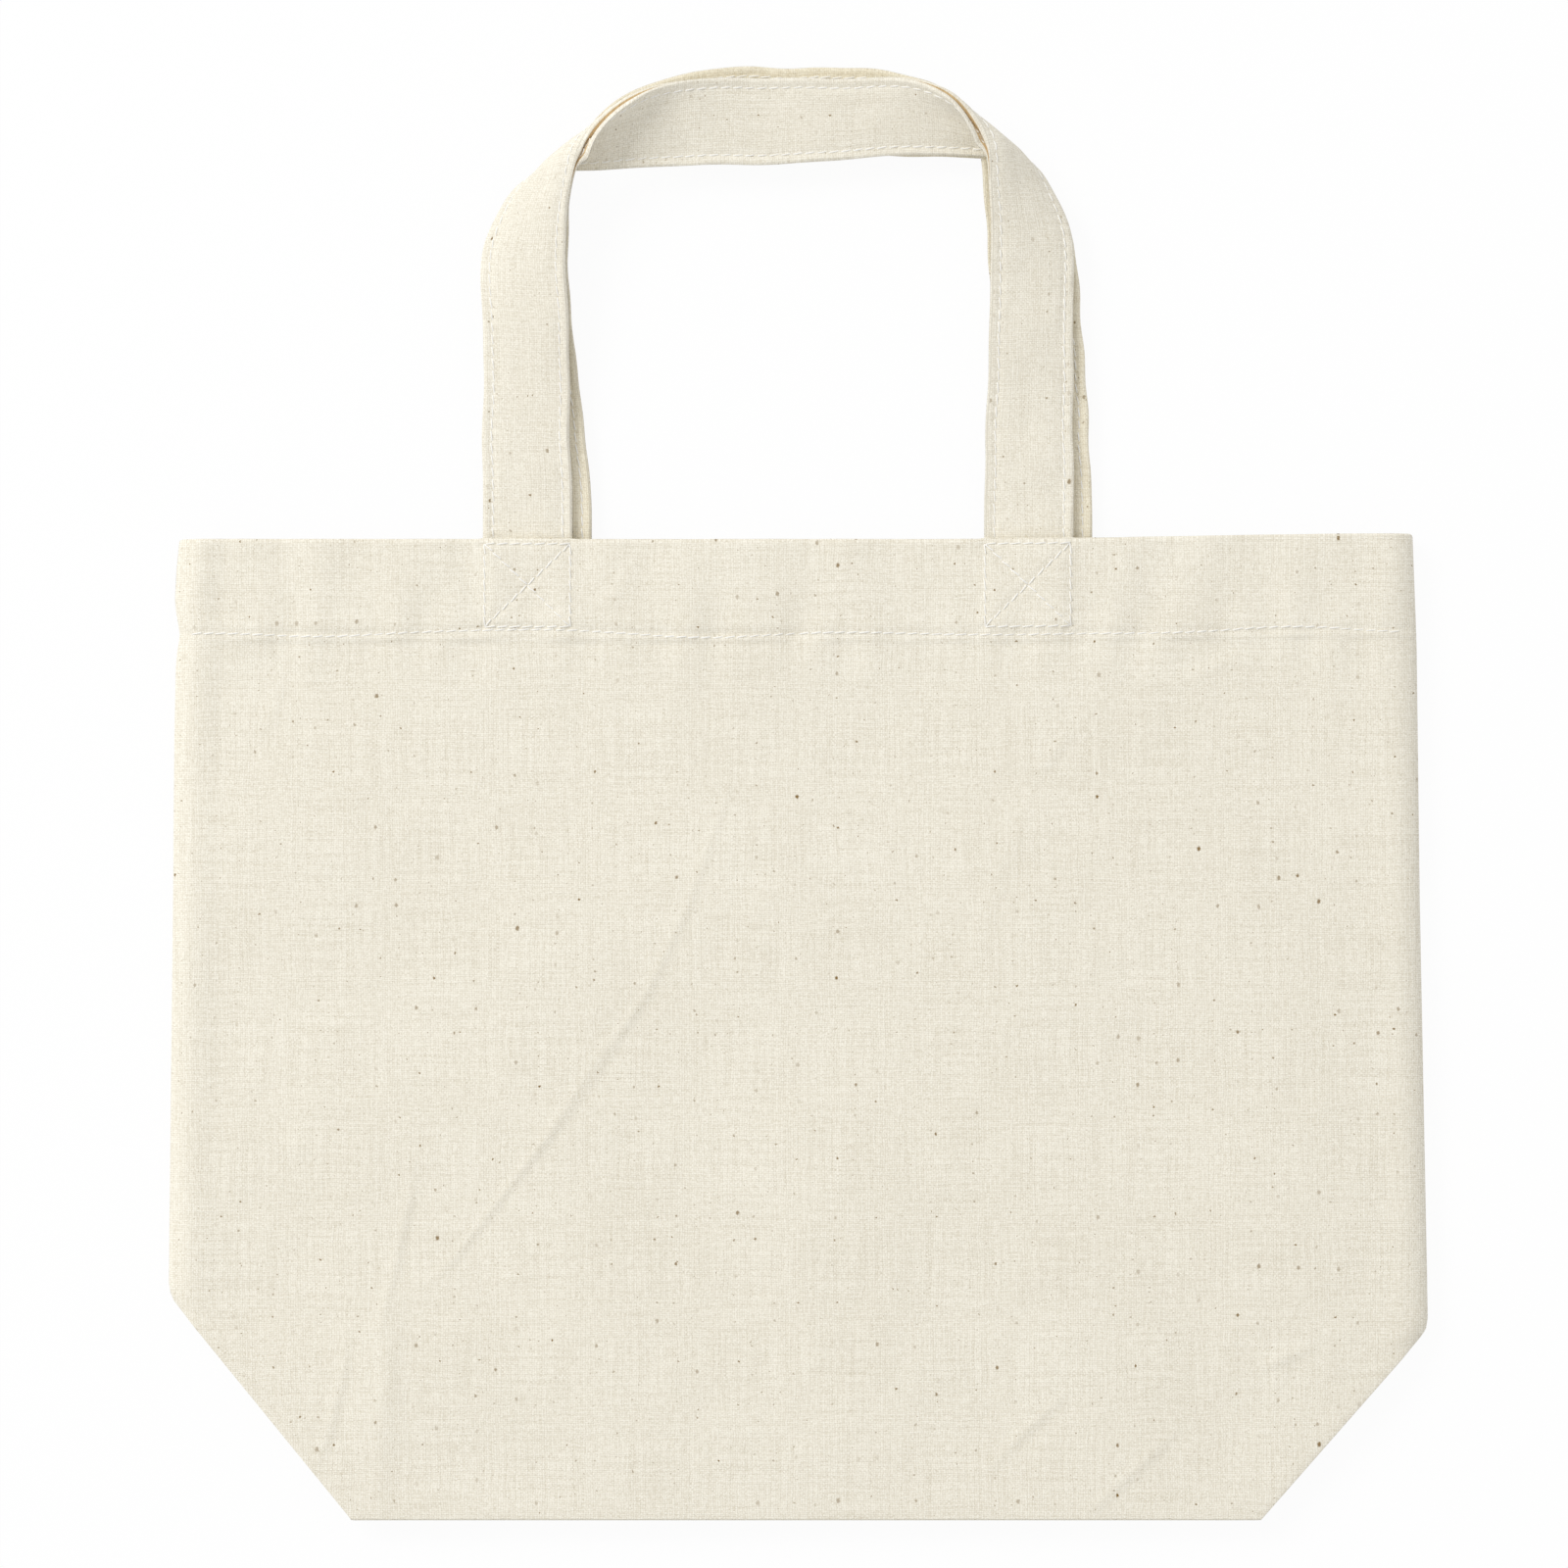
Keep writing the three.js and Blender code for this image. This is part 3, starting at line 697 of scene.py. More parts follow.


# Bottom
# The lower end of the body cloth, folded up inside the flat bag in two halves that meet in a crease
# half way across the gusset.

HALF_GUSSET = 49.74
CREASE_RADIUS = 0.55
END_REACH = 3.0  # the far end is cut this much longer, to meet the corners of the opened bag
MIDDLE_GAP = 0.15  # half the room left between the two layers where they meet
BOTTOM_TURN = {"front": (8.25, 7.45), "back": (0.75, 1.55)}  # heights between panel and bottom
BOTTOM_STEPS = 25
BOTTOM_ROW = 2.0  # length of cloth from row to row


def inward_profile(share):
    """How far the folded-in cloth keeps off the middle of the bag, which it meets only at its far end."""
    return 1 - share**8


for layer in ("front", "back"):
    points, normals = cloth_faces[layer]
    edge, lean = points[0], normals[0]
    down = np.array([0.0, -1.0, 0.0])
    rows = [edge, *turned(edge, lean, down, CREASE_RADIUS)]
    start = rows[-1]
    seam_height = MIDDLE + sign_of(layer) * MIDDLE_GAP
    for share in np.linspace(0, 1, BOTTOM_STEPS + 1)[1:]:
        reach = FOLD_X + END_REACH * (1 - inward_profile(share))
        to_fold = np.where(edge[:, 0] < 0, -reach / edge[0, 0], reach / edge[-1, 0])
        row = start.copy()
        row[:, 0] = start[:, 0] * (1 + (to_fold - 1) * min(6 * share, 1))
        row[:, 1] = start[:, 1] + share * (HALF_GUSSET - start[:, 1])
        row[:, 2] = seam_height + (start[:, 2] - seam_height) * inward_profile(share)
        rows.append(row)
    face = np.array(rows)[:, ::3]
    # the rows run down and back, so the face's turn is the other way round from the cloth above it
    flip = layer == "front"
    cloth = np.stack([face[..., 0], -np.arange(len(face))[:, None] * BOTTOM_ROW + 0 * face[..., 0]], axis=2)
    piece = shell(f"bottom_{layer}_cloth", face, grid_normals(face, flip), cloth, body_cotton, flip=flip)
    shallow, deep = BOTTOM_TURN[layer]
    start, end = span([0, 0, shallow], [0, 0, deep])
    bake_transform(piece)
    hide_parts(f"bottom_{layer}_half")


# Corners
# The lower ends of the sides, folded in behind them along slanting creases so that the bag lies flat.
# Each is a piece of its own here, of the same cloth as its side.

CORNER_TOPS = {"left": 66.3, "right": 56.3}  # where the slanting creases run into the side seams
CORNER_DEPTH = 1.1  # the folded-in cloth lies this far behind the outer face
CORNER_INSET = 1.6  # and this far in from the outline
CORNER_STEPS = 21
CORNER_TURN = (0.75, 1.1)  # in from the crease, where the cloth starts to turn and where it turns wholly

for layer in ("front", "back"):
    points, normals = cloth_faces[layer]
    sign = sign_of(layer)
    for hand, column in (("left", 0), ("right", -1)):
        side = SIDES[hand]
        heights, reaches = LEFT_EDGE if hand == "left" else RIGHT_EDGE
        rim = points[points[:, column, 1] < CORNER_TOPS[hand], column]
        share = rim[:, 1] / rim[-1, 1]
        crease_y = share * HALF_GUSSET
        crease_x = np.interp(crease_y, heights, reaches) - CORNER_INSET
        fold_x = np.minimum(FOLD_X, crease_x - 0.2) - END_REACH * (1 - inward_profile(share))
        depth = np.maximum(np.abs(rim[:, 2] - MIDDLE) - CORNER_DEPTH, MIDDLE_GAP)
        lines = [rim]
        # the cloth that shows beside the opened crease carries the weave on, square to the crease
        opening = (rim[:, 1] - crease_y) * [[-0.62 * side], [0.78]]
        cloth_lines = [np.stack([side * (FOLD_X + crease_y), crease_x - FOLD_X], axis=1) + opening.T]
        for across in np.linspace(0, 1, CORNER_STEPS + 1):
            reach = crease_x + (fold_x - crease_x) * across
            kept = 1 - (1 - inward_profile(share)) * soft_step(across, 0, 0.3)
            off_middle = np.maximum(depth * kept, MIDDLE_GAP)
            lines.append(np.stack([side * reach, crease_y, MIDDLE + sign * off_middle], axis=1))
            cloth_lines.append(np.stack([side * (FOLD_X + crease_y), reach - FOLD_X], axis=1))
        face = np.stack(lines, axis=1)
        leans = np.zeros_like(face)
        leans[:, 0, 2] = sign
        leans[:, 1:, 2] = -sign
        name = f"{hand}_{layer}_corner_cloth"
        cloth = np.stack(cloth_lines, axis=1)
        piece = shell(name, face, leans, cloth, body_cotton, flip=sign * side < 0, crisp=False)
        rise, run = heights[1] - heights[0], reaches[1] - reaches[0]
        foot = np.array([side * reaches[0], heights[0], 0])
        inwards = np.array([-side * rise, run, 0]) / math.hypot(rise, run)
        start, end = span(*(foot + distance * inwards for distance in CORNER_TURN))
        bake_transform(piece)
        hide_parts(f"{hand}_{layer}_corner")


# Hem stitching
# One row of white lockstitch through the turned-in hem, close above its lower edge. The needle thread
# shows on the outside, the bobbin thread on the inside.

THREAD_WIDTH = 0.46
THREAD_SEAT = 0.1  # middle of the thread above the cloth
THREAD_SHADES = ((0.90, 0.88, 0.82, 1), (0.98, 0.965, 0.93, 1))
STITCH_SHOWN = 3.0  # length of a stitch between its needle holes
STITCH_RISE = 0.07
STITCH_SLANT = 0.13
FUZZ_SCALE = 2600

white_thread, tree = new_tree("white_thread")
where = Wire.of(tree, "ShaderNodeTexCoord", output="Object")
fuzz_settings = {"noise_dimensions": "3D"}
fuzz_sockets = {"Vector": where, "Scale": FUZZ_SCALE, "Detail": 2}
fuzz = Wire.of(tree, "ShaderNodeTexNoise", fuzz_settings, fuzz_sockets)
thread_colour = fuzz.tinted(*THREAD_SHADES)
thread_bump = Wire.of(tree, "ShaderNodeBump", {}, {"Height": fuzz, "Strength": 0.4, "Distance": 0.0001})
thread_finish = {"Base Color": thread_colour, "Roughness": 0.62, "Normal": thread_bump, "Sheen Weight": 0.1}
surface(tree, Wire.of(tree, "ShaderNodeBsdfPrincipled", {}, thread_finish))

stitch_tree = bpy.data.node_groups.new("sewn_stitches", "GeometryNodeTree")
stitch_inputs = {
    "Rows": "NodeSocketGeometry",
    "Stitch length": "NodeSocketFloat",
    "Thread width": "NodeSocketFloat",
    "Rise": "NodeSocketFloat",
    "Thread": "NodeSocketMaterial",
}
for label, kind in stitch_inputs.items():
    stitch_tree.interface.new_socket(label, in_out="INPUT", socket_type=kind)
stitch_tree.interface.new_socket("Sewn", in_out="OUTPUT", socket_type="NodeSocketGeometry")
stitch_sockets = {item.name: item.identifier for item in stitch_tree.interface.items_tree}
given_node = Wire.node(stitch_tree, "NodeGroupInput")
given = {label: Wire(stitch_tree, given_node.outputs[label]) for label in stitch_inputs}


def stitch_end(x, z):
    """A place in the plane in which one stitch bows out of the cloth."""
    return Wire.of(stitch_tree, "ShaderNodeCombineXYZ", {}, {"X": x, "Z": z})


half_stitch = given["Stitch length"] * 0.5
sunk = given["Thread width"] * -0.6
bow = {
    "Resolution": 6,
    "Start": stitch_end(half_stitch * -1, sunk),
    "Middle": stitch_end(0.0, given["Rise"] * 2 - sunk),
    "End": stitch_end(half_stitch, sunk),
}
stitch_line = Wire.of(stitch_tree, "GeometryNodeCurveQuadraticBezier", {}, bow)
thread_round = {"Resolution": 6, "Radius": given["Thread width"] * 0.5}
thread_section = Wire.of(stitch_tree, "GeometryNodeCurvePrimitiveCircle", {}, thread_round)
tube = {"Curve": stitch_line, "Profile Curve": thread_section, "Fill Caps": True}
one_stitch = Wire.of(stitch_tree, "GeometryNodeCurveToMesh", {}, tube)
vector_field = {"data_type": "FLOAT_VECTOR"}
run = Wire.of(stitch_tree, "GeometryNodeInputNamedAttribute", vector_field, {"Name": "run"})
lean = Wire.of(stitch_tree, "GeometryNodeInputNamedAttribute", vector_field, {"Name": "lean"})
lined_up = Wire.of(stitch_tree, "FunctionNodeAlignRotationToVector", {"axis": "X"}, {"Vector": run})
seat_axes = {"axis": "Z", "pivot_axis": "X"}
seat = {"Rotation": lined_up, "Vector": lean}
seated = Wire.of(stitch_tree, "FunctionNodeAlignRotationToVector", seat_axes, seat)
size_range = {0: (0.88, 0.85, 0.8), 1: (1.04, 1.12, 1.15), "Seed": 7}
uneven = Wire.of(stitch_tree, "FunctionNodeRandomValue", vector_field, size_range)
row_sockets = {"Points": given["Rows"], "Instance": one_stitch, "Rotation": seated, "Scale": uneven}
set_out = Wire.of(stitch_tree, "GeometryNodeInstanceOnPoints", {}, row_sockets)
joined = Wire.of(stitch_tree, "GeometryNodeRealizeInstances", {}, {"Geometry": set_out})
dyed = {"Geometry": joined, "Material": given["Thread"]}
sewn_rows = Wire.of(stitch_tree, "GeometryNodeSetMaterial", {}, dyed)
Wire.node(stitch_tree, "NodeGroupOutput", {}, {"Sewn": sewn_rows})


def sampled(at, along, values):
    """Values read at some distances along a line, at whose points they are given."""
    return np.stack([np.interp(at, along, values[:, k]) for k in range(3)], axis=1)


def sew(name, rows, pitch=STITCH, length=STITCH_SHOWN, rise=STITCH_RISE):
    """A piece with stitches along each row: a line of points, and the directions out of the cloth."""
    spots, runs, leans = [], [], []
    for line, outwards in rows:
        along = lengths_along(line)
        count = max(round(along[-1] / pitch), 1)
        middles = (np.arange(count) + 0.5) * along[-1] / count
        before, spot, after = (sampled(middles + shift * pitch, along, line) for shift in (-0.4, 0, 0.4))
        spots.append(spot)
        lean = sampled(middles, along, outwards)
        runs.append(after - before + STITCH_SLANT * np.cross(lean, after - before))
        leans.append(lean)
    mesh = bpy.data.meshes.new(name)
    mesh.from_pydata(place(np.concatenate(spots)).tolist(), [], [])
    for label, values in (("run", runs), ("lean", leans)):
        attribute = mesh.attributes.new(label, "FLOAT_VECTOR", "POINT")
        attribute.data.foreach_set("vector", np.concatenate(values).astype(np.float32).ravel())
    piece = bpy.data.objects.new(name, mesh)
    bpy.context.collection.objects.link(piece)
    modifier = piece.modifiers.new("stitches", "NODES")
    modifier.node_group = stitch_tree
    modifier[stitch_sockets["Stitch length"]] = length / 1000
    modifier[stitch_sockets["Thread width"]] = THREAD_WIDTH / 1000
    modifier[stitch_sockets["Rise"]] = rise / 1000
    modifier[stitch_sockets["Thread"]] = white_thread
    bpy.context.view_layer.update()
    sewn = bpy.data.meshes.new_from_object(piece.evaluated_get(bpy.context.evaluated_depsgraph_get()))
    piece.modifiers.clear()
    piece.data = sewn
    for label in ("run", "lean"):
        if label in sewn.attributes:
            sewn.attributes.remove(sewn.attributes[label])
    sewn.polygons.foreach_set("use_smooth", np.ones(len(sewn.polygons), bool))
    return piece


HEM_STACK = 2 * FOLD_RADIUS + CLOTH  # outer face of the hem to its inner face
HEM_ENDS = {"left": (-176.0, 0.0), "right": (0.0, 174.8)}
HEM_SEEDS = {"front": 5, "back": 6}
LINE_WANDER = 0.35  # how far the row strays from its line
LINE_WANDER_WAVES = (8, 30, 90)
for layer in ("front", "back"):
    sign = sign_of(layer)
    for hand, (first, last) in HEM_ENDS.items():
        x = np.arange(first, last, 0.5)
        y = hem_line(x) + LINE_WANDER * ripples(x, 0 * x, HEM_SEEDS[layer], *LINE_WANDER_WAVES)
        height = outward(x, y, layer)
        y = y + mouth_rise(x, y)
        outwards = np.tile([0.0, 0.0, sign], (len(x), 1))
        outside = np.stack([x, y, MIDDLE + sign * (height + THREAD_SEAT)], axis=1)
        inside = np.stack([x, y, MIDDLE + sign * (height - HEM_STACK - THREAD_SEAT)], axis=1)
        piece = sew(f"{layer}_hem_thread_{hand}", [(outside, outwards), (inside, -outwards)])
        start, end = side_fold(hand)
        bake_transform(piece)
        middle_row = [f"{layer}_hem_stitch"] if hand == "right" else []
        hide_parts(f"{hand}_{layer}_hem_stitch", *middle_row)


# Side seam allowances
# The trimmed edges of front and back beyond each side seam, laid together inside the bag and oversewn
# with slanting loops of thread so that they don't fray. Each rides on its side of the back.

ALLOWANCE = 10.0  # width of cloth beyond the seam
ALLOWANCE_EDGE = 172.0  # its outer edge, from the middle of the bag
ALLOWANCE_ENDS = (66.0, 283.0)
DRAWN_TOWARDS = 214.9  # opening draws the allowance out towards this line, and narrows it
ALLOWANCE_TOP = 1.65  # its upper face above the middle of the bag, clear of the seam's edges
HEM_SQUEEZE = 0.95  # and how much lower it is between the hems, from these heights
HEM_SQUEEZE_FOOT = (244, 252)
ALLOWANCE_THICKNESS = 1.0  # two layers of cloth
ALLOWANCE_STEP = 1.6
ALLOWANCE_SEEDS = {"left": 61, "right": 62}
RAGGED = 0.009  # share of its width by which the cut edge wavers
RAGGED_WAVES = (10, 6, 30)
ALLOWANCE_LIFT = 0.12  # how far that edge curls up
LIFT_SEED = 63
LIFT_WAVES = (12, 12, 40)
WEAVE_SHIFT = 40
OVERSEW_PITCH = 2.4  # from loop to loop along the edge
OVERSEW_DEPTH = 4.6
OVERSEW_SLANT = 1.5
OVERSEW_SEAT = 0.2  # middle of the thread above the cloth, and how much more at the curled edge
OVERSEW_CLIMB = 0.25
OVERSEW_RUN = 6.0  # longer than a loop, so that each loop is one stitch
OVERSEW_RISE = 0.1


def allowance_top(y):
    """Height of the allowance's upper face."""
    return MIDDLE + ALLOWANCE_TOP - HEM_SQUEEZE * soft_step(y, *HEM_SQUEEZE_FOOT)


for hand, side in SIDES.items():
    y = np.arange(*ALLOWANCE_ENDS, ALLOWANCE_STEP)[:, None]
    inset = np.linspace(0, ALLOWANCE, 9)[None, :]
    ragged = RAGGED * ripples(y, 0 * y, ALLOWANCE_SEEDS[hand], *RAGGED_WAVES)
    x = side * (ALLOWANCE_EDGE - inset * (1 + ragged))
    y = y + 0 * x
    lift = ALLOWANCE_LIFT * (1 + ripples(x, y, LIFT_SEED, *LIFT_WAVES)) * inset / ALLOWANCE
    face = np.stack([x, y, allowance_top(y) + np.abs(lift)], axis=2)
    up = np.zeros_like(face)
    up[..., 2] = 1
    name = f"{hand}_seam_allowance_cloth"
    cloth = np.stack([x + WEAVE_SHIFT, y], axis=2)
    piece = shell(name, face, up, cloth, body_cotton, thickness=ALLOWANCE_THICKNESS, flip=side > 0)
    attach(piece, f"{hand}_back_side")
    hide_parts(f"{hand}_side_seam_allowance")
    loops = []
    for low in np.arange(ALLOWANCE_ENDS[0] + 1, ALLOWANCE_ENDS[1] - 3, OVERSEW_PITCH):
        step = np.linspace(0, 1, 5)
        loop_x = side * (ALLOWANCE_EDGE - ALLOWANCE + OVERSEW_DEPTH * (1 - step))
        loop_y = low + OVERSEW_SLANT * step
        height = allowance_top(loop_y) + OVERSEW_SEAT + OVERSEW_CLIMB * step
        loops.append((np.stack([loop_x, loop_y, height], axis=1), np.tile([0.0, 0.0, 1.0], (5, 1))))
    oversewing = sew(f"{hand}_oversewing", loops, OVERSEW_RUN, OVERSEW_DEPTH, OVERSEW_RISE)
    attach(oversewing, f"{hand}_back_side")
    anchor = tuple(place([side * DRAWN_TOWARDS, 0, MIDDLE]))
    for drawn in (piece, oversewing):
        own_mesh(drawn)


# Handles
# Two straps of the same cotton, folded in four and stitched along both edges. Their ends are sewn
# inside the hem, and the loops lie on each other, rolled over at the shoulders so that their inner faces
# show along the top.

STRAP_SEWN = 26.0  # length of an end inside the hem
STRAP_ROW = 2.8  # stitching, in from the strap's edge
HALF_STATIONS = 180  # cross-sections of half a loop
END_STEP = 0.95
EASED = 9  # cross-sections over which an edge's kinks are eased

LOOP_MIDDLE = -4.0  # X where the two halves of each loop meet
STRAP_FOOT = 12.15  # above the mouth, where the legs start to leave their line
FRONT_SEAT = 5.85  # heights of the straps where they come out of the hem
BACK_SEAT = 3.15

# Each loop's inner and outer edge, from the left leg over the top to the right leg, with Y counted from
# the mouth
STRAP_EDGES = {
    "front": (
        [
            *((-65.5, STRAP_FOOT, FRONT_SEAT), (-66.5, 60, 10), (-66, 95.5, 16.5), (-62, 114, 21)),
            *((-49.5, 126.5, 20), (-39, 130.5, 17.5), (-24, 132.5, 14.5), (LOOP_MIDDLE, 133, 13)),
            *((18, 132.5, 14), (33, 132, 17), (44, 128.5, 19.5), (52, 118, 21.5), (55, 101, 17)),
            *((56, 84.5, 13), (55.5, 60, 10), (54, STRAP_FOOT, FRONT_SEAT)),
        ],
        [
            *((-91.5, STRAP_FOOT, FRONT_SEAT), (-91.5, 60, 7), (-92, 76, 7), (-90.5, 87, 7)),
            *((-86.5, 94.5, 7), (-83, 101, 7), (-76, 105.5, 7.5), (-64.5, 106, 8), (-24, 108, 9)),
            *((LOOP_MIDDLE, 108.5, 9), (18, 110, 9), (51, 110.5, 8), (62, 110, 7.5), (69.5, 107.5, 7)),
            *((73, 102, 7), (77, 95, 7), (80, 86, 7), (80, 70, 7), (80, STRAP_FOOT, FRONT_SEAT)),
        ],
    ),
    "back": (
        [
            *((-60, STRAP_FOOT, BACK_SEAT), (-65, 59, 4), (-67, 83, 4.5), (-64, 110, 6.5)),
            *((-59.5, 120.5, 7), (-52, 127.5, 6.5), (-28, 136, 4.5), (LOOP_MIDDLE, 136.5, 3)),
            *((22.5, 136, 4.5), (46, 128, 6.5), (51.5, 121, 7), (53.5, 110, 6.5), (55, 83, 4.5)),
            *((56.5, 59, 4), (60, STRAP_FOOT, BACK_SEAT)),
        ],
        [
            *((-85, STRAP_FOOT, BACK_SEAT), (-89.5, 57, 3.3), (-90.5, 78, 3.4), (-86.5, 93, 2.3)),
            *((-73.5, 106.5, 1.7), (-63, 110.5, 1.5), (-50, 111, 1.5), (LOOP_MIDDLE, 111, 1.5)),
            *((40, 111, 1.5), (52.5, 111, 1.5), (65, 108.5, 1.7), (72, 101, 2), (79.5, 88.5, 2.8)),
            *((81, 78.5, 3.4), (82.5, 58, 3.3), (85.5, STRAP_FOOT, BACK_SEAT)),
        ],
    ),
}
SHOULDER_CROWN = {"front": 3.2, "back": 0.6}  # how far the strap bows out where it rolls over
CROWN_FULLNESS = 3.7
CROWN_ONSET = 0.55
LIP_SPREAD = {"front": 3.4, "back": 0.5}  # how far the folded edge opens there
LIP_OPENS = (0.03, 0.5)  # shares of the way from face up to face down
LIP_CLOSES = (0.92, 0.99)
LIP_REACH = (0.5, 9.0)  # in from the inner edge


def evenly(line, count):
    """The same line with its points an equal way apart."""
    along = lengths_along(line)
    return sampled(np.linspace(0, along[-1], count), along, line)


def smoothed(line, reach):
    """The line with its kinks eased over this many points, ends kept."""
    weights = np.hanning(2 * reach + 3)[1:-1]
    before = 2 * line[0] - line[reach:0:-1]
    after = 2 * line[-1] - line[-2 : -reach - 2 : -1]
    padded = np.concatenate([before, line, after])
    return np.stack([np.convolve(padded[:, k], weights / weights.sum(), "valid") for k in range(3)], axis=1)


def curve_through(corners, first, last):
    """Points close together on a smooth curve through all the corners, from one corner to another."""
    chord = lengths_along(corners)
    slopes = np.gradient(corners, chord, axis=0)
    at = np.linspace(chord[first], chord[last], 10 * HALF_STATIONS)
    i = np.clip(np.searchsorted(chord, at) - 1, 0, len(chord) - 2)
    gap = (chord[i + 1] - chord[i])[:, None]
    share = (at - chord[i])[:, None] / gap
    leaving = (1 - share) ** 2 * ((1 + 2 * share) * corners[i] + share * gap * slopes[i])
    arriving = share**2 * ((3 - 2 * share) * corners[i + 1] - (1 - share) * gap * slopes[i + 1])
    return leaving + arriving


def whole_edge(corners):
    """An edge of a strap from end to end: both halves of the loop, and the ends inside the hem."""
    corners = np.array(corners, float)
    top = int(np.flatnonzero(corners[:, 0] == LOOP_MIDDLE)[0])
    left = evenly(curve_through(corners, 0, top), HALF_STATIONS)
    right = evenly(curve_through(corners, top, len(corners) - 1), HALF_STATIONS)
    loop = np.concatenate([left, right[1:]])
    down = np.arange(loop[0, 1], -STRAP_SEWN, -END_STEP)[1:]
    ends = [np.stack([0 * down + p[0], down, 0 * down + p[2]], axis=1) for p in (loop[0], loop[-1])]
    return smoothed(np.concatenate([ends[0][::-1], loop, ends[1]]), EASED) + [0, BAG_HEIGHT, 0]


EDGE_ROUND = 0.75  # width of a strap's rounded edge
EDGE_HALF = 0.56  # and half its thickness
STRAP_HALF = 0.58  # half the thickness of the strap itself
# Columns of a face, in from its edge, and directions round the outer edge
FACE_INSETS = np.array([EDGE_ROUND, 1.2, 1.8, 2.3, STRAP_ROW, 3.3, 3.9, 4.8, 6.4, 8.4, 10.4])
EDGE_ANGLES = np.radians([67.5, 45, 22.5, 0, -22.5, -45, -67.5])
ROW_COLUMN = 4  # column of a face on which the stitching runs
MIDDLE_BULGE = 0.16  # how full the strap is between its rows of stitching, from this far in
MIDDLE_BULGE_IN = 7.0
EDGE_BULGE = 0.10  # and outside them
EDGE_BULGE_IN = 1.2
ROW_DENT = 0.24  # how deep the stitching draws the cloth in
ROW_DENT_REACH = 0.7
ROW_BEAT = 0.05  # and how much more or less at each stitch
ROW_BEAT_REACH = 1.6
STRAP_SEEDS = {"front": 81, "back": 91}
STRAP_RUMPLE = 0.07
STRAP_RUMPLE_WAVES = (18, 7, 24)
STRAP_WAVE = 0.22
STRAP_FACE_WAVES = (10, 26, 80)
STRAP_EDGE_WAVES = (9, 12, 60)
SLIT = 0.04  # half the gap between the two folds of the inner edge, and what the open lip adds to it
LIP_GAP = 0.12
SLIT_DEPTH = 0.7
FOLD_DEPTH = 0.3  # how far each fold is rounded back beside its middle
FOLD_SHARES = np.array([[-0.8, 0.0, 0.8]])
STRAP_LOOSE = (2.0, 30.0)  # above the mouth, where the strap starts to lie free and where it does
STRAP_BEND = (6.0, 18.0)  # above the mouth, where the strap bends when it is lifted
STRAIGHT_STATION = 100  # a cross-section on the straight part of the left leg
SHADED_SHADES = ((0.69, 0.61, 0.44, 1), (0.965, 0.91, 0.75, 1))  # in the shade behind the front strap
# painted shade: the slit between the two folds of a strap's inner edge is coloured darker and warmer than
# the strap, for the shade deep in it
SLIT_SHADE_COLOURS = ((0.52, 0.36, 0.17, 1), (0.78, 0.60, 0.34, 1))  # deep in the folded edge

strap_cotton = cotton("strap_cotton", *COTTON_SHADES, shift=17.0)
shaded_cotton = cotton("shaded_cotton", *SHADED_SHADES, shift=29.0)
strap_cloth = {"front": strap_cotton, "back": shaded_cotton}
strap_slit_shade = cotton("strap_slit_shade", *SLIT_SHADE_COLOURS, shift=17.0)

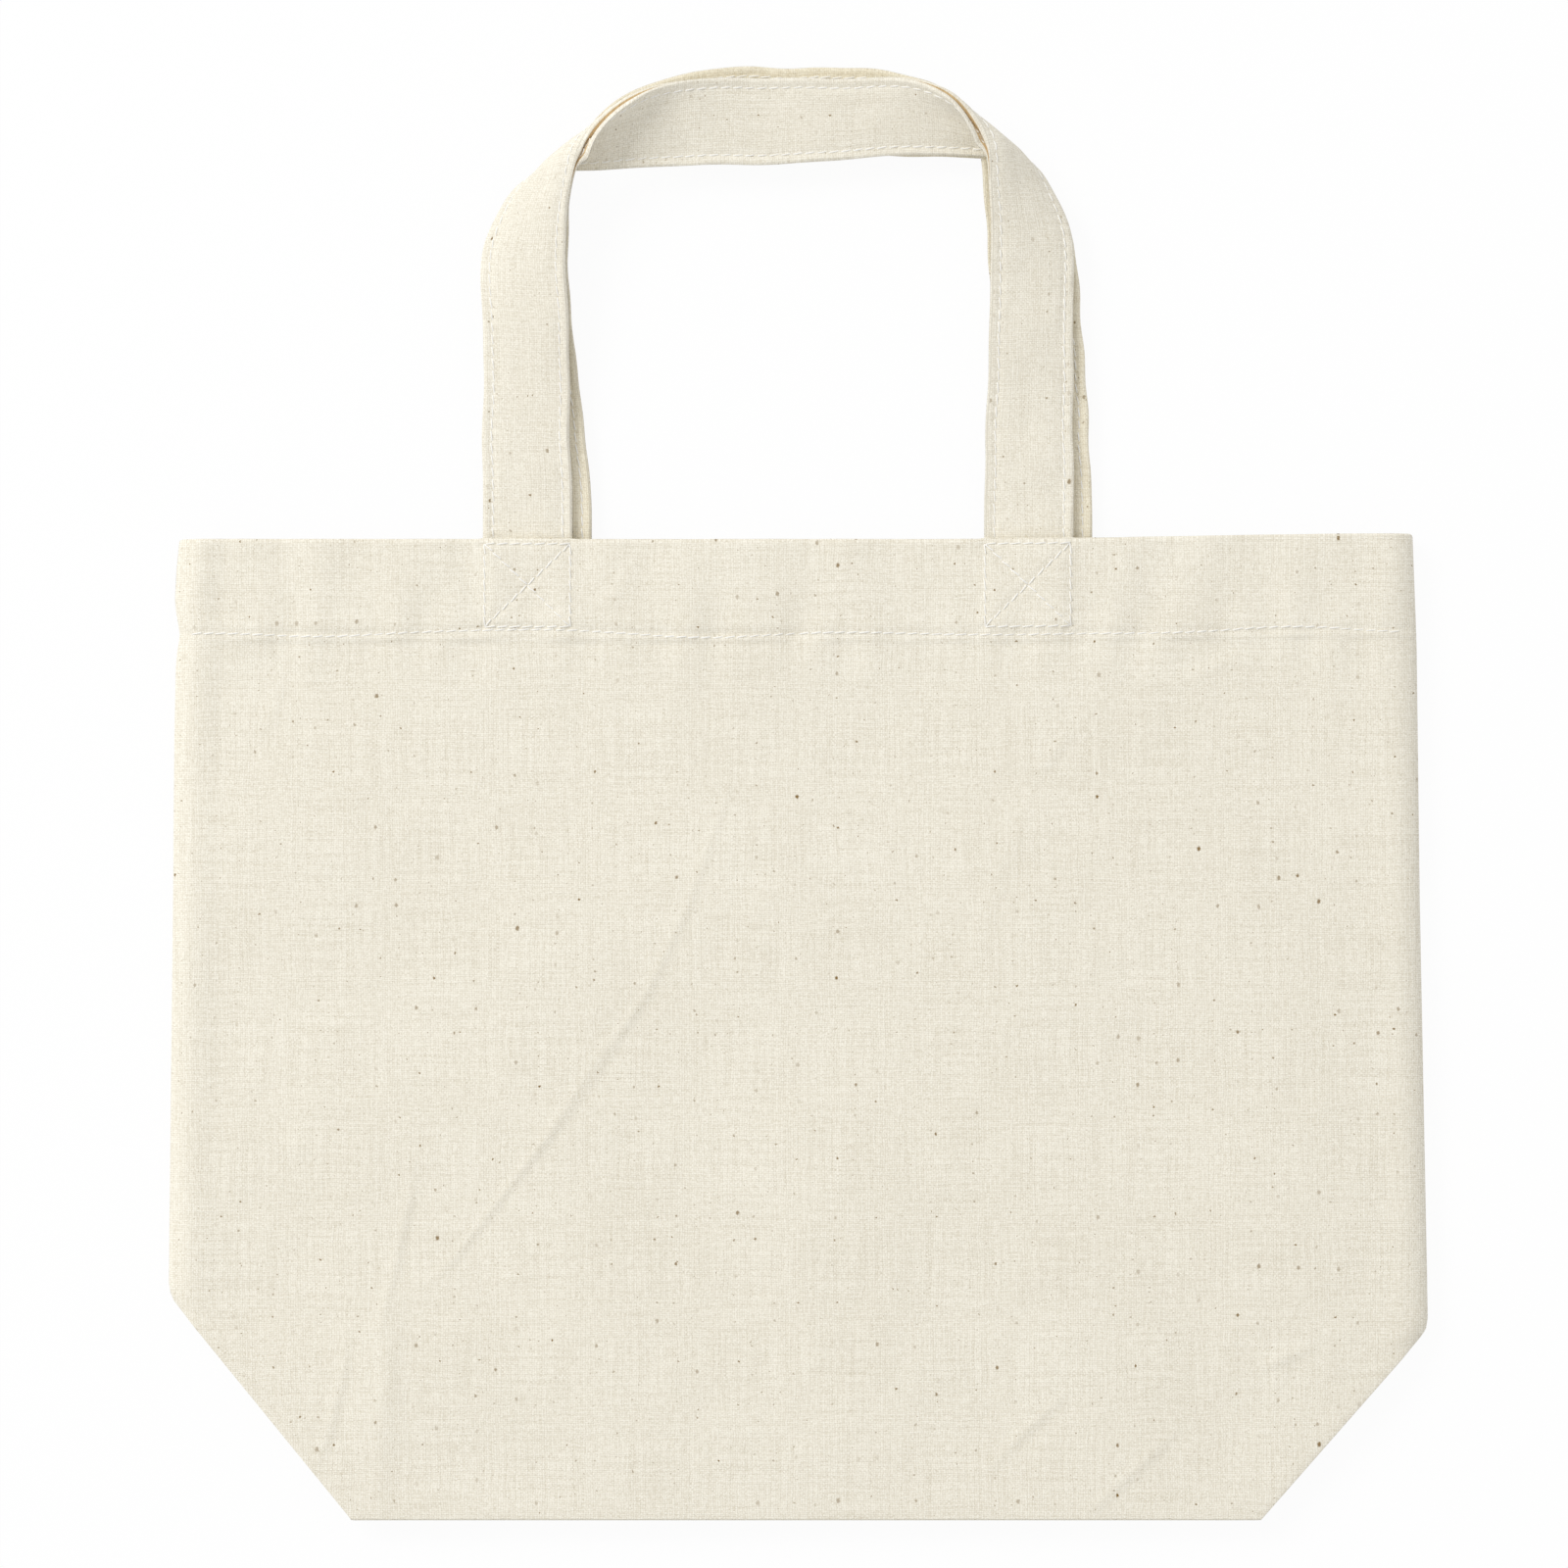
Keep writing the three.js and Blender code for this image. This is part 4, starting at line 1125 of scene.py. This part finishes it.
for layer, (inner_corners, outer_corners) in STRAP_EDGES.items():
    inner, outer = whole_edge(inner_corners), whole_edge(outer_corners)
    middle = (inner + outer) / 2
    tangent = np.gradient(middle, axis=0)
    across = outer - inner
    reach = np.linalg.norm(across, axis=1, keepdims=True) / 2
    across /= 2 * reach
    out = np.cross(tangent, across)
    out /= np.linalg.norm(out, axis=1, keepdims=True)
    s = lengths_along(middle)[:, None]
    seed = STRAP_SEEDS[layer]
    loose = soft_step(middle[:, 1:2] - BAG_HEIGHT, *STRAP_LOOSE)
    rolled = 1 - out[:, 2:] ** 2  # 0 where the strap lies flat, 1 where it stands on edge

    # sideways place of each column of a face, counted from the middle, and how far in from its edge it lies
    scale = reach / (STRAP_WIDTH / 2)
    inset = np.concatenate([FACE_INSETS, [STRAP_WIDTH / 2], FACE_INSETS[::-1]])[None, :]
    sides = np.concatenate([[-1] * len(FACE_INSETS), [0], [1] * len(FACE_INSETS)])[None, :]
    sideways = sides * (STRAP_WIDTH / 2 - inset) * scale
    bulge = MIDDLE_BULGE * soft_step(inset, STRAP_ROW, MIDDLE_BULGE_IN)
    bulge = bulge + EDGE_BULGE * (1 - soft_step(inset, EDGE_BULGE_IN, STRAP_ROW))
    from_row = inset - STRAP_ROW
    groove = np.exp(-((from_row / ROW_DENT_REACH) ** 2))
    beat = ROW_BEAT * np.cos(2 * math.pi * s / STITCH) * np.exp(-np.abs(from_row) / ROW_BEAT_REACH)
    turn = (1 - out[:, 2:]) / 2  # 0 where the outer face shows, 1 where the strap has rolled right over
    lip = LIP_SPREAD[layer] * soft_step(turn, *LIP_OPENS) * (1 - soft_step(turn, *LIP_CLOSES)) * loose
    from_inner = sideways + reach
    opened = {1: 0 * from_inner, -1: lip * (1 - soft_step(from_inner, *LIP_REACH))}
    thickness = {}
    for facing in (1, -1):
        uneven = STRAP_RUMPLE * ripples(sideways, s, seed + facing, *STRAP_RUMPLE_WAVES) * (1 - groove)
        thickness[facing] = STRAP_HALF + bulge - ROW_DENT * groove + beat + uneven + opened[facing]
    crown = SHOULDER_CROWN[layer] * rolled**CROWN_ONSET * loose
    wave = STRAP_WAVE * loose * ripples(0.7 * sideways, s, seed + 4, *STRAP_FACE_WAVES)
    wave = wave + crown * (1 - np.abs(sideways / reach) ** CROWN_FULLNESS)
    edge_wave = STRAP_WAVE * loose * ripples(0 * s, s, seed + 7, *STRAP_EDGE_WAVES)

    # the outer edge is a plain fold, the inner edge two folds with a slit between them
    outer_side = reach - EDGE_ROUND + EDGE_ROUND * np.cos(EDGE_ANGLES)[None, :]
    outer_out = EDGE_HALF * np.sin(EDGE_ANGLES)[None, :] + 0 * s
    slit = -SLIT - 0.5 * lip
    gap = SLIT + LIP_GAP * lip
    folds = []
    for low, high in ((-EDGE_HALF - lip, slit - gap), (slit + gap, EDGE_HALF + 0 * s)):
        folds.append((low + high) / 2 + (high - low) / 2 * FOLD_SHARES)
    inner_out = np.concatenate([folds[0], slit - 0.7 * gap, slit + 0.7 * gap, folds[1]], axis=1)
    depth = SLIT_DEPTH * (1 + lip)
    rounding = 0 * s + [[FOLD_DEPTH, 0.0, FOLD_DEPTH]]
    inner_side = np.concatenate([rounding, depth, depth, rounding], axis=1) - reach
    top, under = thickness[1] + wave, (-thickness[-1] + wave)[:, ::-1]
    ring_side = np.concatenate([sideways, outer_side, sideways[:, ::-1], inner_side], axis=1) + edge_wave
    ring_out = np.concatenate([top, outer_out + wave[:, -1:], under, inner_out + wave[:, :1]], axis=1)
    points = middle[:, None] + across[:, None] * ring_side[..., None] + out[:, None] * ring_out[..., None]

    stations, ring = points.shape[:2]
    index = np.arange(stations * ring).reshape(stations, ring)
    after = np.roll(index, -1, axis=1)
    quads = np.stack([index[:-1], index[1:], after[1:], after[:-1]], -1).reshape(-1, 4)
    caps = [index[0].tolist(), index[-1, ::-1].tolist()]
    around = lengths_along(points[STRAIGHT_STATION])
    cloth = np.stack([np.tile(around, (stations, 1)), np.repeat(s, ring, axis=1)], axis=2)
    corners, faces = points.reshape(-1, 3), quads.tolist() + caps
    strap = mesh_piece(f"{layer}_strap", corners, faces, cloth.reshape(-1, 2), strap_cloth[layer])
    strap.data.materials.append(strap_slit_shade)
    # the slit's faces, painted darker and warmer as shade, are the middle three of those on the inner edge,
    # which is the end of the ring
    in_slit = np.isin(np.arange(ring), [ring - 6, ring - 5, ring - 4])
    inside = np.concatenate([np.tile(in_slit, stations - 1), [False, False]]).astype(int)
    strap.data.polygons.foreach_set("material_index", inside)
    start, end = span(*([0, BAG_HEIGHT + rise, 0] for rise in STRAP_BEND))
    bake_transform(strap)
    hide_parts(f"{layer}_handle", f"{layer}_handle_left_end", f"{layer}_handle_right_end")

    columns = len(FACE_INSETS) * 2 + 1
    shown = middle[:, 1] > BAG_HEIGHT - 1
    for row, column in (("inner", ROW_COLUMN), ("outer", columns - 1 - ROW_COLUMN)):
        beneath = columns + len(EDGE_ANGLES) + columns - 1 - column
        on_top = points[shown, column] + THREAD_SEAT * out[shown]
        below = points[shown, beneath] - THREAD_SEAT * out[shown]
        thread = sew(f"{layer}_strap_thread_{row}", [(on_top, out[shown]), (below, -out[shown])])
        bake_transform(thread)
        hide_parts(f"{layer}_handle_{row}_stitch")


# Boxed crosses
# White stitching that fixes each strap end to the hem: once round a square and twice across it, in one
# run, with the same thread as the hem.

for layer in ("front", "back"):
    sign = sign_of(layer)
    for hand, centre in zip(("left", "right"), STRAP_CENTRES[layer]):
        rows = []
        for first, last in box_runs(centre):
            step = np.linspace(0, 1, 60)
            x, y = (first[k] + (last[k] - first[k]) * step for k in (0, 1))
            height = MIDDLE + sign * (outward(x, y, layer) + THREAD_SEAT)
            line = np.stack([x, y + mouth_rise(x, y), height], axis=1)
            rows.append((line, np.tile([0.0, 0.0, sign], (len(x), 1))))
        piece = sew(f"{layer}_{hand}_box_thread", rows)
        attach(piece, f"{layer}_panel")
        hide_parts(f"{layer}_{hand}_box_stitch")
